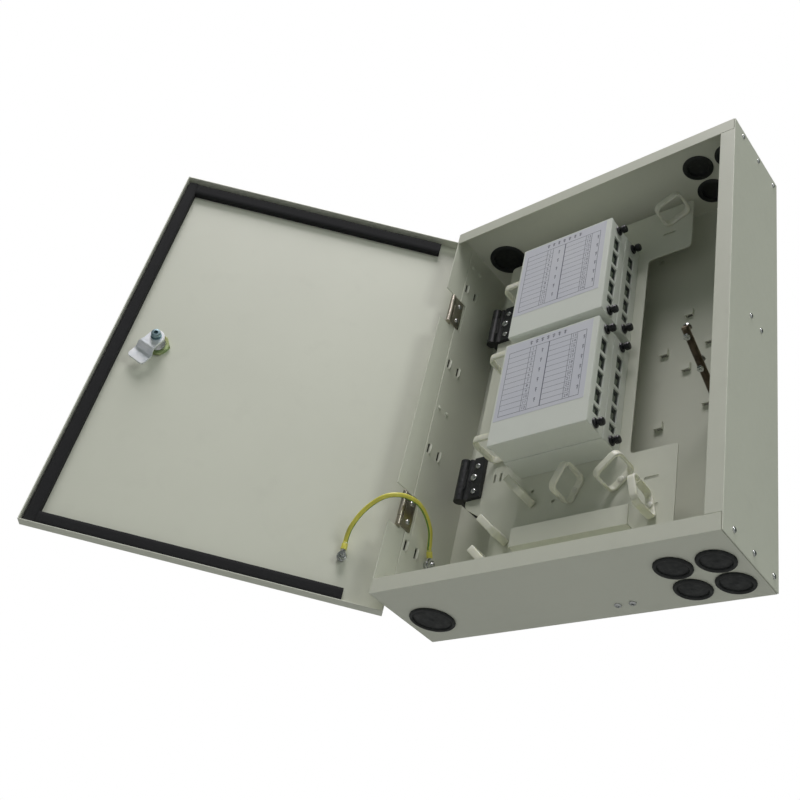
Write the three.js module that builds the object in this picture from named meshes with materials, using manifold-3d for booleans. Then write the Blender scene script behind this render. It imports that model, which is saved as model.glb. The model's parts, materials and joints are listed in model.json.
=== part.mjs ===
// Wall-mount fibre termination box: a folded sheet-steel enclosure with a hinged, lockable door
// and a swing-out tray that carries four splice cassettes and their cable rings.
//
// Millimetres, +Z up, +Y into the wall. Inside the box group x runs from the left wall, y from
// the front plane and z from the underside; the finished group has its origin at the centre of
// the back face. The door is drawn shut and then turned open about its hinge pin.

import * as THREE from 'three';
import { mergeVertices } from 'three/addons/utils/BufferGeometryUtils.js';
import Module from 'manifold-3d';

const wasm = await Module();
wasm.setup();

// ---------------------------------------------------------------- driving dimensions

const SHEET = 1.2;              // steel thickness of every folded part
const GAP = 0.3;                // air left between pieces that touch
const OVERLAP = 0.2;            // how far joined solids run into each other
const ROUND = 20;               // sides of an ordinary round

const WIDTH = 357;
const DEPTH = 103;
const HEIGHT = 500;
const FLANGE = 16;              // front return flange
const BACK_Y = DEPTH - SHEET;   // inner face of the back

const LINER = {
  front: 26,
  notch: 36,
  x: SHEET + GAP,
  slots: { y: [30.5, 47.5], z: [71, 193, 313, 433], width: 3, height: 12 },
};
const WALL_HOLES = { x: [75, 225], z: [60, 440], radius: 3.25 };
const TIE_LOOP = { width: 9, height: 8, stand: 4 };
const TIE_LOOPS = [[238, 299], [238, 203], [264, 346], [264, 271], [288, 300], [288, 220]];
const SMALL_GROMMET = { hole: 14, flange: 16.5, x: [296, 333], y: [40, 76] };
const LARGE_GROMMET = { hole: 20, flange: 23, x: [32], y: [61] };

const DOOR = {
  openAngle: 134.2,
  pivot: [1, 14.5],
  overhang: 5.5,                // the lid reaches this far past the box all round
  skin: -6.5,                   // outer face of the closed door
  rim: 5.5,                     // back edge of the closed door's rim
};
const HINGE = {
  z: [106.5, 386.5],
  height: 40,
  knuckle: 3,
  pin: 1.2,
  notchDepth: 19,
  leaf: [18, 32],               // depth of the fixed leaf
  leafThickness: 1.5,
  strap: { x: 2.8, back: 9, foot: -3.9 },
};
const GASKET = { back: -0.5, top: 16, topGap: 5, side: 13.5, bottom: 14, topEnd: 32, bottomEnd: 37 };
const LOCK = {
  x: 311,
  z: 244.5,
  restAngle: 66,
  body: 9,
  plug: 6,
  face: -11,                    // front of the housing's head
  headLength: 4.2,
  square: 8,                    // squared tail of the plug
  squareHole: 8.8,
  keyway: { width: 1.4, depth: 3 },
  nut: { radius: 15, thickness: 4 },
  cam: { back: 10, thickness: 2.5, length: 37, width: 18, tip: 3, bend: [15, 22] },
  screw: { radius: 5, height: 6.5, socket: 2.4, socketStart: 3 },
};

const TRAY = {
  front: 65,
  left: 40,
  waist: 230,
  right: 280,
  bottom: 20,
  lowLobe: 148,
  highLobe: 408,
  top: 481,
  corner: 5,
  chamfer: { right: 81, top: 128, bottom: 100 },
};
const TRAY_SLOTS = { wide: [[253, 440], [255, 115]], tall: [[73, 158], [80.5, 158]] };
const TRAY_HOLES = { at: [[262, 84], [124, 130], [150, 113]], radius: 2 };
const TRAY_HINGE = {
  axis: [33, 62],
  z: [161.7, 381.6],
  height: 51,
  knuckle: 13,
  barrel: 6,
  pin: 2.4,
  base: { x: [32, 36.2], y: [69, 95] },
  leaf: { x: [39.6, 60], thickness: 4.7 },
  groove: { x: 44, half: 2.5, depth: 2 },
};
const TRAY_BRACKET = { x: 36.5, foot: 52, front: 70, shorter: 4 };
const LIP = { x: [122, 247], z: [54, 75], reach: 21 };
const CASSETTE = { x: 106, width: 112, height: 131.6, depth: 30, front: 4.5, z: [148.5, 291.8] };
const PORT = {
  count: 5,
  first: 20,
  pitch: 21.3,
  height: 16.5,
  last: 9,
  width: 10,
  recess: 3.5,
  backing: 1.5,
};
const PLUNGER = { inset: 7, neck: 1.8, knob: 4.2, reach: 10 };
const RING = { length: 33, width: 7.5, thickness: 3, corner: 8 };

// each ring stands on the tray at [x, z], its foot turned by an angle from +X towards +Z
const RINGS = {
  ring_left_upper: { at: [84, 397], turn: 0, height: 42 },
  ring_left_middle: { at: [83, 292], turn: 0, height: 42 },
  ring_left_lower: { at: [83, 180], turn: 0, height: 42 },
  ring_corner_left: { at: [120, 121.5], turn: -48, height: 31 },
  ring_bottom_middle: { at: [175.5, 117], turn: 66, height: 34 },
  ring_bottom_right: { at: [225.5, 118], turn: 44, height: 33 },
  ring_lip_right: { at: [257.5, 82], turn: -78, height: 36 },
  ring_lip_left: { at: [95, 82], turn: -45, height: 30 },
  ring_foot_left: { at: [93, 46], turn: -45, height: 32 },
  ring_top_right: { at: [263, 458.5], turn: 26, height: 30 },
};

const CLAMP = {
  x: 300,
  z: 210,                       // where the post leaves the back
  rise: 28.5,                   // degrees it climbs as it comes forward
  radius: 4,
  length: 86,
  foot: { radius: 8, thickness: 6 },
  screws: [46.5, 80],           // places of the cross screws along the post
  screw: { radius: 1.7, hole: 2.1, head: 3.2, headHeight: 3, seat: 6.8, below: 9 },
};
const STUD = { radius: 2, length: 10.5, base: 4.6, nut: 4.4, nutStart: 5.4, nutHeight: 3.2 };
const WALL_STUD = { y: 66, z: 67 };
const DOOR_STUD = { x: 47.6, z: 44.2 };
const TERMINAL = { lift: 4.3, washer: 5.2, barrel: 3.1, barrelStart: 7, barrelLength: 7 };
const LEAD = { radius: 2.5, steps: 64, sides: 8 };

// ---------------------------------------------------------------- finishes

function finish(color, roughness, metalness) {
  return new THREE.MeshStandardMaterial({ color, roughness, metalness });
}

const paint = finish(0xc9c9ba, 0.5, 0.0);
const nickel = finish(0xb9bcc0, 0.25, 1.0);
const zinc = finish(0xc9c19a, 0.3, 1.0);
const darkSteel = finish(0x3b3a38, 0.45, 0.9);
const rubber = finish(0x0c0e0e, 0.7, 0.0);
const foam = finish(0x0b0c0d, 0.9, 0.0);
const blackPlastic = finish(0x15171a, 0.35, 0.0);
const nylon = finish(0xe6e6d6, 0.45, 0.0);
const cassettePaint = finish(0xb6bdb2, 0.55, 0.0);
const leadJacket = finish(0xd8cf3a, 0.4, 0.0);

// ---------------------------------------------------------------- geometry helpers

const X = new THREE.Vector3(1, 0, 0);
const Y = new THREE.Vector3(0, 1, 0);
const Z = new THREE.Vector3(0, 0, 1);

function solid(geometry) {
  const bare = geometry.index ? geometry.toNonIndexed() : geometry.clone();
  bare.deleteAttribute('normal');
  bare.deleteAttribute('uv');
  const merged = mergeVertices(bare, 1e-4);
  const options = {
    numProp: 3,
    vertProperties: new Float32Array(merged.attributes.position.array),
    triVerts: new Uint32Array(merged.index.array),
  };
  return new wasm.Manifold(new wasm.Mesh(options));
}

function join(...solids) {
  return solids.reduce((sum, next) => sum.add(next));
}

function cut(base, ...tools) {
  return tools.reduce((left, tool) => left.subtract(tool), base);
}

function box([x0, x1], [y0, y1], [z0, z1]) {
  const geometry = new THREE.BoxGeometry(x1 - x0, y1 - y0, z1 - z0);
  geometry.translate((x0 + x1) / 2, (y0 + y1) / 2, (z0 + z1) / 2);
  return solid(geometry);
}

// a round bar whose axis is the unit vector `axis`, from `start` for `length`
function bar(start, axis, radius, length, sides = ROUND) {
  const geometry = new THREE.CylinderGeometry(radius, radius, length, sides);
  geometry.translate(0, length / 2, 0);
  geometry.applyQuaternion(new THREE.Quaternion().setFromUnitVectors(Y, axis));
  geometry.translate(...start);
  return solid(geometry);
}

// a turned piece: [radius, height] points from the axis back to the axis, turned about `axis`
function turned(profile, start, axis, sides = ROUND) {
  const points = profile.map(([radius, height]) => new THREE.Vector2(radius, height));
  const geometry = new THREE.LatheGeometry(points, sides);
  geometry.applyQuaternion(new THREE.Quaternion().setFromUnitVectors(Y, axis));
  geometry.translate(...start);
  return solid(geometry);
}

// a flat outline in (x, z), extruded from y0 to y1
function frontPlate(shape, y0, y1, curveSegments = 4) {
  const options = { depth: y1 - y0, bevelEnabled: false, curveSegments };
  const geometry = new THREE.ExtrudeGeometry(shape, options);
  geometry.applyMatrix4(new THREE.Matrix4().makeBasis(X, Z, Y.clone().negate()));
  geometry.translate(0, y1, 0);
  return solid(geometry);
}

// an outline through `points` whose corners are rounded to `radius`
function roundedOutline(points, radius, Kind = THREE.Shape) {
  const outline = new Kind();
  const corners = points.map(([x, y]) => new THREE.Vector2(x, y));
  corners.forEach((corner, i) => {
    const before = corners[(i + corners.length - 1) % corners.length];
    const after = corners[(i + 1) % corners.length];
    const into = corner.clone().add(before.clone().sub(corner).setLength(radius));
    const out = corner.clone().add(after.clone().sub(corner).setLength(radius));
    if (i === 0) outline.moveTo(into.x, into.y);
    else outline.lineTo(into.x, into.y);
    outline.quadraticCurveTo(corner.x, corner.y, out.x, out.y);
  });
  outline.closePath();
  return outline;
}

function rectangle([x0, x1], [y0, y1]) {
  return [[x0, y0], [x1, y0], [x1, y1], [x0, y1]];
}

function surface(body) {
  const { vertProperties, triVerts } = body.getMesh();
  const geometry = new THREE.BufferGeometry();
  geometry.setAttribute('position', new THREE.BufferAttribute(new Float32Array(vertProperties), 3));
  geometry.setIndex(new THREE.BufferAttribute(new Uint32Array(triVerts), 1));
  return geometry;
}

function mesh(name, material, body) {
  const geometry = surface(body);
  geometry.computeVertexNormals();
  const piece = new THREE.Mesh(geometry, material);
  piece.name = name;
  return piece;
}

function span(centre, length) {
  return [centre - length / 2, centre + length / 2];
}

// ---------------------------------------------------------------- enclosure

const SHELL_X = [SHEET + GAP, WIDTH - SHEET - GAP];
const LEVELS = { bottom: [0, SHEET], top: [HEIGHT - SHEET, HEIGHT] };

function grommetHoles(spec, z) {
  const holes = [];
  for (const x of spec.x) {
    for (const y of spec.y) holes.push(bar([x, y, z[0] - 1], Z, spec.hole, SHEET + 2));
  }
  return holes;
}

// a bridge lanced out of the back: a strip on two legs over the slot it came from
function tieLoop(base, [x, z]) {
  const width = span(x, TIE_LOOP.width);
  const height = span(z, TIE_LOOP.height);
  const front = BACK_Y - TIE_LOOP.stand;
  const slot = box(span(x, TIE_LOOP.width - 2 * SHEET), [BACK_Y - 1, DEPTH + 1], height);
  const strip = box(width, [front, front + SHEET], height);
  const left = box([width[0], width[0] + SHEET], [front, BACK_Y + OVERLAP], height);
  const right = box([width[1] - SHEET, width[1]], [front, BACK_Y + OVERLAP], height);
  return join(cut(base, slot), strip, left, right);
}

function trayBracket(z) {
  const { x, foot, front, shorter } = TRAY_BRACKET;
  const height = span(z, TRAY_HINGE.height - shorter);
  const upright = box([x, x + SHEET], [front, BACK_Y + OVERLAP], height);
  const sole = box([x, foot], [BACK_Y - SHEET, BACK_Y + OVERLAP], height);
  return join(upright, sole);
}

function backShell() {
  const across = SHELL_X;
  let shell = box(across, [BACK_Y, DEPTH], [0, HEIGHT]);
  for (const z of Object.values(LEVELS)) shell = join(shell, box(across, [0, DEPTH], z));
  shell = join(shell, box(across, [0, SHEET], [0, FLANGE]));
  shell = join(shell, box(across, [0, SHEET], [HEIGHT - FLANGE, HEIGHT]));
  for (const z of TRAY_HINGE.z) shell = join(shell, trayBracket(z));
  for (const z of Object.values(LEVELS)) {
    shell = cut(shell, ...grommetHoles(SMALL_GROMMET, z), ...grommetHoles(LARGE_GROMMET, z));
  }
  for (const x of WALL_HOLES.x) {
    for (const z of WALL_HOLES.z) {
      shell = cut(shell, bar([x, BACK_Y - 1, z], Y, WALL_HOLES.radius, SHEET + 2));
    }
  }
  return TIE_LOOPS.reduce(tieLoop, shell);
}

function hingeNotches(x, depth, height) {
  return HINGE.z.map((z) => box(x, [-1, depth], span(z, height)));
}

function leftWall() {
  const wall = box([0, SHEET], [0, DEPTH], [0, HEIGHT]);
  return cut(wall, ...hingeNotches([-1, SHEET + 1], HINGE.notchDepth, HINGE.height + 5));
}

function rightCover() {
  const wall = box([WIDTH - SHEET, WIDTH], [0, DEPTH], [0, HEIGHT]);
  const flange = box([WIDTH - FLANGE, WIDTH], [0, SHEET], [FLANGE + GAP, HEIGHT - FLANGE - GAP]);
  return join(wall, flange);
}

// a punched strip against the left wall, with pairs of slots for cable ties
function linerPlate() {
  const across = [LINER.x, LINER.x + SHEET];
  const plate = box(across, [LINER.front, BACK_Y - GAP], [6, HEIGHT - 6]);
  const past = [LINER.x - 1, LINER.x + SHEET + 1];
  const slots = [];
  for (const z of LINER.slots.z) {
    for (const y of LINER.slots.y) {
      slots.push(box(past, span(y, LINER.slots.width), span(z, LINER.slots.height)));
    }
  }
  return cut(plate, ...hingeNotches(past, LINER.notch, HINGE.height + 3), ...slots);
}

// blind cable grommet: two flanges clasp the sheet round a closed membrane
function grommet(spec, x, y, outward) {
  const wall = outward > 0 ? HEIGHT : 0;
  const neck = spec.hole - GAP;
  const well = neck - 3.2;
  const profile = [
    [0, -0.4],
    [well, -0.4],
    [well + 0.6, -SHEET - 2],
    [spec.flange - 1, -SHEET - 2],
    [spec.flange, -SHEET - GAP],
    [neck, -SHEET - GAP],
    [neck, GAP],
    [spec.flange, GAP],
    [spec.flange - 0.3, 1.6],
    [spec.flange - 1.6, 2.7],
    [well + 0.8, 2.7],
    [well - 0.8, 0.9],
    [0, 0.9],
  ];
  return turned(profile, [x, y, wall], Z.clone().multiplyScalar(outward), 24);
}

function grommets() {
  const list = [];
  for (const [level, outward] of [['bottom', -1], ['top', 1]]) {
    const [largeX, largeY] = [LARGE_GROMMET.x[0], LARGE_GROMMET.y[0]];
    const large = grommet(LARGE_GROMMET, largeX, largeY, outward);
    list.push(mesh(`grommet_${level}_large`, rubber, large));
    const places = SMALL_GROMMET.x.flatMap((x) => SMALL_GROMMET.y.map((y) => [x, y]));
    places.forEach(([x, y], i) => {
      list.push(mesh(`grommet_${level}_${i + 1}`, rubber, grommet(SMALL_GROMMET, x, y, outward)));
    });
  }
  return list;
}

// threaded post for cable strength members, leaning forward and up from a hexagonal foot and
// drilled upright for two screws
const CLAMP_RISE = THREE.MathUtils.degToRad(CLAMP.rise);
const CLAMP_AXIS = new THREE.Vector3(0, -Math.cos(CLAMP_RISE), Math.sin(CLAMP_RISE));

function onClamp(along) {
  return new THREE.Vector3(CLAMP.x, BACK_Y, CLAMP.z).addScaledVector(CLAMP_AXIS, along);
}

function clampPost() {
  const { x, z, radius, length, foot, screws, screw } = CLAMP;
  const hexagon = bar([x, BACK_Y - GAP - foot.thickness, z], Y, foot.radius, foot.thickness, 6);
  const post = bar(onClamp(radius).toArray(), CLAMP_AXIS, radius, length - radius, 16);
  const through = 4 * radius;
  const holes = screws.map((along) => {
    const start = onClamp(along).addScaledVector(Z, -through / 2);
    return bar(start.toArray(), Z, screw.hole, through, 12);
  });
  return cut(join(hexagon, post), ...holes);
}

function clampScrew(along) {
  const { radius, head, headHeight, seat, below } = CLAMP.screw;
  const tip = onClamp(along).addScaledVector(Z, -below);
  const under = onClamp(along).addScaledVector(Z, seat);
  const shank = bar(tip.toArray(), Z, radius, seat + below + OVERLAP, 12);
  return join(shank, bar(under.toArray(), Z, head, headHeight, 16));
}

// a bolt with a hexagonal base and a nut, on a wall at `start`
function groundStud(start, axis) {
  const nutStart = new THREE.Vector3(...start).addScaledVector(axis, STUD.nutStart);
  const base = bar(start, axis, STUD.base, STUD.nutHeight, 6);
  const shank = bar(start, axis, STUD.radius, STUD.length, 12);
  const nut = bar(nutStart.toArray(), axis, STUD.nut, STUD.nutHeight, 6);
  return join(base, shank, nut);
}

// ---------------------------------------------------------------- door hinges

function knuckle([z0, z1], radius) {
  return bar([...DOOR.pivot, z0], Z, radius, z1 - z0);
}

function hingeSpans(z) {
  const [low, high] = span(z, HINGE.height);
  const end = HINGE.height / 4;
  return {
    low: [low, low + end],
    middle: [low + end + GAP, high - end - GAP],
    high: [high - end, high],
  };
}

// fixed leaf on the inside of the left wall, with the outer knuckles and the pin
function hingeLeaf(z) {
  const spans = hingeSpans(z);
  const across = [LINER.x, LINER.x + HINGE.leafThickness];
  const leaf = box(across, HINGE.leaf, span(z, HINGE.height));
  const ends = [spans.low, spans.high].map((range) => join(
    knuckle(range, HINGE.knuckle),
    box(across, [DOOR.pivot[1], HINGE.leaf[0] + OVERLAP], range),
  ));
  return join(leaf, ...ends, knuckle(span(z, HINGE.height), HINGE.pin));
}

// cranked strap inside the door, with the middle knuckle
function hingeStrap(z) {
  const { middle } = hingeSpans(z);
  const skinInside = DOOR.skin + SHEET + GAP;
  const { x, back, foot } = HINGE.strap;
  const leg = [x, x + SHEET];
  const upright = box(leg, [skinInside, back], middle);
  const neck = box(leg, [back - 1, DOOR.pivot[1]], middle);
  const sole = box([foot, leg[1]], [skinInside, skinInside + SHEET], middle);
  const bore = bar([...DOOR.pivot, middle[0] - 1], Z, HINGE.pin + 0.4, HINGE.height);
  return cut(join(upright, neck, sole, knuckle(middle, HINGE.knuckle)), bore);
}

// ---------------------------------------------------------------- door, drawn shut

const DOOR_X = [-DOOR.overhang, WIDTH + DOOR.overhang];
const DOOR_Z = [-DOOR.overhang, HEIGHT + DOOR.overhang];

function doorPanel() {
  const pan = box(DOOR_X, [DOOR.skin, DOOR.rim], DOOR_Z);
  const inside = box(
    [DOOR_X[0] + SHEET, DOOR_X[1] - SHEET],
    [DOOR.skin + SHEET, DOOR.rim + 1],
    [DOOR_Z[0] + SHEET, DOOR_Z[1] - SHEET],
  );
  const lockHole = bar([LOCK.x, DOOR.skin - 1, LOCK.z], Y, LOCK.body + 0.5, SHEET + 2);
  return cut(pan, inside, lockHole);
}

// three strips of foam: top, free side and bottom
function doorGasket() {
  const deep = [DOOR.skin + SHEET + GAP, GASKET.back];
  const outerX = DOOR_X[1] - SHEET - GAP;
  const top = DOOR_Z[1] - SHEET - GAP;
  const bottom = DOOR_Z[0] + SHEET + GAP;
  return join(
    box([GASKET.topEnd, outerX], deep, [top - GASKET.topGap - GASKET.top, top - GASKET.topGap]),
    box([outerX - GASKET.side, outerX], deep, [bottom, top]),
    box([GASKET.bottomEnd, outerX], deep, [bottom, bottom + GASKET.bottom]),
  );
}

// ---------------------------------------------------------------- cam lock, axis along +Y

const PLUG_CLEARANCE = 0.4;

function lockHousing() {
  const head = bar([0, LOCK.face, 0], Y, LOCK.body + 2, LOCK.headLength);
  const barrel = bar([0, LOCK.face, 0], Y, LOCK.body, LOCK.cam.back - GAP - LOCK.face);
  const bore = bar([0, LOCK.face - 1, 0], Y, LOCK.plug + PLUG_CLEARANCE, 30);
  return cut(join(head, barrel), bore);
}

function lockNut() {
  const start = DOOR.skin + SHEET + GAP;
  const nut = bar([0, start, 0], Y, LOCK.nut.radius, LOCK.nut.thickness, 6);
  return cut(nut, bar([0, start - 1, 0], Y, LOCK.body + PLUG_CLEARANCE, LOCK.nut.thickness + 2));
}

// plug with a squared tail for the cam and a key slot in its face
function lockPlug() {
  const face = LOCK.face + GAP;
  const half = LOCK.square / 2;
  const plug = bar([0, face, 0], Y, LOCK.plug, LOCK.cam.back - GAP - face);
  const tail = box([-half, half], [LOCK.cam.back - 1, LOCK.cam.back + 2.3], [-half, half]);
  const keyway = box([-half, half], [face - 1, face + LOCK.keyway.depth], span(0, LOCK.keyway.width));
  return cut(join(plug, tail), keyway);
}

// flat cam with a double bend, reaching along +X
function lockCam() {
  const { back, thickness, length, width, tip, bend } = LOCK.cam;
  const across = span(0, width);
  const base = join(
    bar([0, back, 0], Y, width / 2, thickness),
    box([0, bend[0] + 1], [back, back + thickness], across),
  );
  const end = box([bend[1] - 2, length], [tip, tip + thickness], across);
  const outline = new THREE.Shape();
  outline.moveTo(bend[0], back);
  outline.lineTo(bend[0], back + thickness);
  outline.lineTo(bend[0] + 1.5, back + thickness);
  outline.lineTo(bend[1], tip + thickness);
  outline.lineTo(bend[1], tip);
  outline.lineTo(bend[1] - 2, tip);
  const crank = new THREE.ExtrudeGeometry(outline, { depth: width, bevelEnabled: false });
  crank.translate(0, 0, across[0]);
  const square = box(span(0, LOCK.squareHole), [back - 1, back + thickness + 1], span(0, LOCK.squareHole));
  return cut(join(base, solid(crank), end), square);
}

function camScrew() {
  const start = LOCK.cam.back + LOCK.cam.thickness + GAP;
  const { radius, height, socket, socketStart } = LOCK.screw;
  const head = bar([0, start, 0], Y, radius, height);
  return cut(head, bar([0, start + socketStart, 0], Y, socket, height, 6));
}

// ---------------------------------------------------------------- tray

function slotCutter([x, z], width, height) {
  return box(span(x, width), [TRAY.front - 1, TRAY.front + SHEET + 1], span(z, height));
}

function holeCutter([x, z], radius) {
  return bar([x, TRAY.front - 1, z], Y, radius, SHEET + 2, 12);
}

function trayPlate() {
  const outline = [
    [TRAY.chamfer.right, TRAY.bottom],
    [TRAY.right, TRAY.bottom],
    [TRAY.right, TRAY.lowLobe],
    [TRAY.waist, TRAY.lowLobe],
    [TRAY.waist, TRAY.highLobe],
    [TRAY.right, TRAY.highLobe],
    [TRAY.right, TRAY.top],
    [TRAY.left, TRAY.top],
    [TRAY.left, TRAY.chamfer.top],
    [TRAY.chamfer.right, TRAY.chamfer.bottom],
  ];
  const plate = frontPlate(roundedOutline(outline, TRAY.corner), TRAY.front, TRAY.front + SHEET, 3);
  const lipFront = TRAY.front - LIP.reach;
  const shelf = box(LIP.x, [lipFront, TRAY.front + OVERLAP], [LIP.z[0], LIP.z[0] + SHEET]);
  const band = box(LIP.x, [lipFront, lipFront + SHEET], LIP.z);
  const cuts = [
    ...TRAY_SLOTS.wide.map((at) => slotCutter(at, 14, 3)),
    ...TRAY_SLOTS.tall.map((at) => slotCutter(at, 2.5, 10)),
    ...TRAY_HOLES.at.map((at) => holeCutter(at, TRAY_HOLES.radius)),
  ];
  return join(cut(plate, ...cuts), shelf, band);
}

function trayHingeSpans(z) {
  const [low, high] = span(z, TRAY_HINGE.height);
  const end = TRAY_HINGE.knuckle;
  return { low: [low, low + end], middle: [low + end + GAP, high - end - GAP], high: [high - end, high] };
}

function trayBarrel([z0, z1], radius = TRAY_HINGE.barrel) {
  return bar([...TRAY_HINGE.axis, z0], Z, radius, z1 - z0);
}

// moulded leaf screwed to the back bracket, with the outer knuckles and the pin
function trayHingeBase(z) {
  const spans = trayHingeSpans(z);
  const { x, y } = TRAY_HINGE.base;
  const leaf = box(x, y, span(z, TRAY_HINGE.height));
  const ends = [spans.low, spans.high].map((range) => join(
    trayBarrel(range),
    box(x, [TRAY_HINGE.axis[1], y[0] + 0.5], range),
  ));
  return join(leaf, ...ends, trayBarrel(span(z, TRAY_HINGE.height), TRAY_HINGE.pin));
}

// moulded leaf on the face of the tray, ribbed with a V groove beside the barrel
function trayHingeLeaf(z) {
  const { middle } = trayHingeSpans(z);
  const { x, thickness } = TRAY_HINGE.leaf;
  const face = [TRAY.front - GAP - thickness, TRAY.front - GAP];
  const leaf = box(x, face, span(z, TRAY_HINGE.height));
  const arm = box([TRAY_HINGE.axis[0], x[0] + 0.4], [face[0] - 1, face[1]], middle);
  const { x: bottomX, half, depth } = TRAY_HINGE.groove;
  const groove = new THREE.Shape();
  groove.moveTo(bottomX - half, face[0] - 0.5);
  groove.lineTo(bottomX + half, face[0] - 0.5);
  groove.lineTo(bottomX, face[0] + depth);
  const grooveBar = new THREE.ExtrudeGeometry(groove, { depth: TRAY_HINGE.height + 2, bevelEnabled: false });
  grooveBar.translate(0, 0, z - TRAY_HINGE.height / 2 - 1);
  const bore = bar([...TRAY_HINGE.axis, middle[0] - 1], Z, TRAY_HINGE.pin + 0.4, TRAY_HINGE.height);
  return cut(join(leaf, arm, trayBarrel(middle)), solid(grooveBar), bore);
}

// ---------------------------------------------------------------- splice cassettes

function cassetteLayers() {
  const rear = TRAY.front - GAP - CASSETTE.depth;
  return { front: CASSETTE.front, rear };
}

// a sheet-metal case whose thicker port side has five recessed ports and two plunger holes
function cassette(y, z) {
  const right = CASSETTE.x + CASSETTE.width;
  const deep = [y, y + CASSETTE.depth];
  const tall = [z, z + CASSETTE.height];
  const shell = box([CASSETTE.x, right], deep, tall);
  const hollow = box(
    [CASSETTE.x + SHEET, right - PORT.recess - PORT.backing],
    [deep[0] + SHEET, deep[1] - SHEET],
    [tall[0] + SHEET, tall[1] - SHEET],
  );
  const middle = y + CASSETTE.depth / 2;
  const ports = [];
  for (let i = 0; i < PORT.count; i += 1) {
    const top = tall[1] - PORT.first - i * PORT.pitch;
    const height = i === PORT.count - 1 ? PORT.last : PORT.height;
    ports.push(box([right - PORT.recess, right + 1], span(middle, PORT.width), [top - height, top]));
  }
  const holes = plungerHeights(z).map((at) => bar([right - 8, middle, at], X, PLUNGER.neck + 0.5, 10, 12));
  return cut(shell, hollow, ...ports, ...holes);
}

function plungerHeights(z) {
  return [z + PLUNGER.inset, z + CASSETTE.height - PLUNGER.inset];
}

// push-pull latch pin: a conical tip inside the case, a neck and a knob
function plunger(y, z) {
  const profile = [
    [0, -8],
    [1, -8],
    [PLUNGER.neck, -5],
    [PLUNGER.neck, PLUNGER.reach - 5],
    [PLUNGER.knob - 1, PLUNGER.reach - 4],
    [PLUNGER.knob, PLUNGER.reach - 3],
    [PLUNGER.knob, PLUNGER.reach - 1],
    [PLUNGER.knob - 1, PLUNGER.reach],
    [0, PLUNGER.reach],
  ];
  return turned(profile, [CASSETTE.x + CASSETTE.width, y + CASSETTE.depth / 2, z], X, 12);
}

function cassettePieces() {
  const cases = [];
  const plungers = [];
  for (const [row, z] of [['lower', CASSETTE.z[0]], ['upper', CASSETTE.z[1]]]) {
    for (const [layer, y] of Object.entries(cassetteLayers())) {
      cases.push(mesh(`cassette_${row}_${layer}`, cassettePaint, cassette(y, z)));
      plungerHeights(z).forEach((at, i) => {
        const end = ['bottom', 'top'][i];
        plungers.push(mesh(`plunger_${row}_${layer}_${end}`, blackPlastic, plunger(y, at)));
      });
    }
  }
  return { cases, plungers };
}

// ---------------------------------------------------------------- cable rings

// a rounded loop standing on the tray, open at a slanting slit in one side
function cableRing({ at, turn, height }) {
  const half = RING.length / 2;
  const outline = roundedOutline(rectangle([-half, half], [0, height]), RING.corner);
  const inner = rectangle(
    [-half + RING.thickness, half - RING.thickness],
    [RING.thickness, height - RING.thickness],
  );
  outline.holes.push(roundedOutline(inner, RING.corner - RING.thickness / 2, THREE.Path));
  const options = { depth: RING.width, bevelEnabled: false, curveSegments: 4 };
  const geometry = new THREE.ExtrudeGeometry(outline, options);
  geometry.translate(0, 0, -RING.width / 2);
  const slit = new THREE.BoxGeometry(2 * RING.thickness + 2, 1.4, RING.width + 6);
  slit.rotateX(0.5);
  slit.translate(-half + RING.thickness / 2, height * 0.62, 0);
  const placed = surface(cut(solid(geometry), solid(slit)));
  const angle = THREE.MathUtils.degToRad(turn);
  const along = new THREE.Vector3(Math.cos(angle), 0, Math.sin(angle));
  const forward = Y.clone().negate();
  placed.applyMatrix4(new THREE.Matrix4().makeBasis(along, forward, along.clone().cross(forward)));
  placed.translate(at[0], TRAY.front - GAP, at[1]);
  return solid(placed);
}

// ---------------------------------------------------------------- ground lead

// a crimped ring terminal: a washer round a stud along `axis`, its barrel leaving along `away`
function ringTerminal(centre, axis, away) {
  const middle = new THREE.Vector3(...centre);
  const start = middle.clone().addScaledVector(axis, -0.4).toArray();
  const washer = bar(start, axis, TERMINAL.washer, 0.8, 16);
  const barrelStart = middle.clone().addScaledVector(away, TERMINAL.barrelStart);
  barrelStart.addScaledVector(axis, 1.2);
  const barrel = bar(barrelStart.toArray(), away, TERMINAL.barrel, TERMINAL.barrelLength, 12);
  const tongueStart = middle.clone().addScaledVector(away, TERMINAL.washer - 0.5);
  tongueStart.addScaledVector(axis, 0.3);
  const tongue = bar(tongueStart.toArray(), away, 0.7, 3, 8);
  const hole = bar(middle.clone().addScaledVector(axis, -3).toArray(), axis, 2.4, 6, 12);
  return cut(join(washer, tongue, barrel), hole);
}

// the stiff yellow-green lead arches from the door stud over the wall's edge to the wall stud
function groundLead() {
  const route = [
    [-41.5, -9.2, 58.6],
    [-41.3, -9.5, 61.5],
    [-38.5, -11.8, 67],
    [-32, -15.6, 73],
    [-22.2, -16.8, 85],
    [-10.4, -16.2, 95],
    [2.5, -14.8, 101],
    [11.5, -8.5, 105.5],
    [15.5, 4.8, 110.5],
    [17, 21, 112],
    [15.6, 36.2, 108],
    [13.3, 50, 98],
    [9.3, 58.2, 86.5],
    [8.6, 59.3, 83.3],
    [8.5, 60.35, 80.7],
  ];
  const path = new THREE.CatmullRomCurve3(route.map((point) => new THREE.Vector3(...point)));
  const section = new THREE.Shape();
  for (let i = 0; i < LEAD.sides; i += 1) {
    const angle = 2 * Math.PI * i / LEAD.sides;
    const corner = [LEAD.radius * Math.cos(angle), LEAD.radius * Math.sin(angle)];
    if (i === 0) section.moveTo(...corner);
    else section.lineTo(...corner);
  }
  section.closePath();
  const options = { steps: LEAD.steps, extrudePath: path, bevelEnabled: false };
  return solid(new THREE.ExtrudeGeometry(section, options));
}

// ---------------------------------------------------------------- assembly

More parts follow.
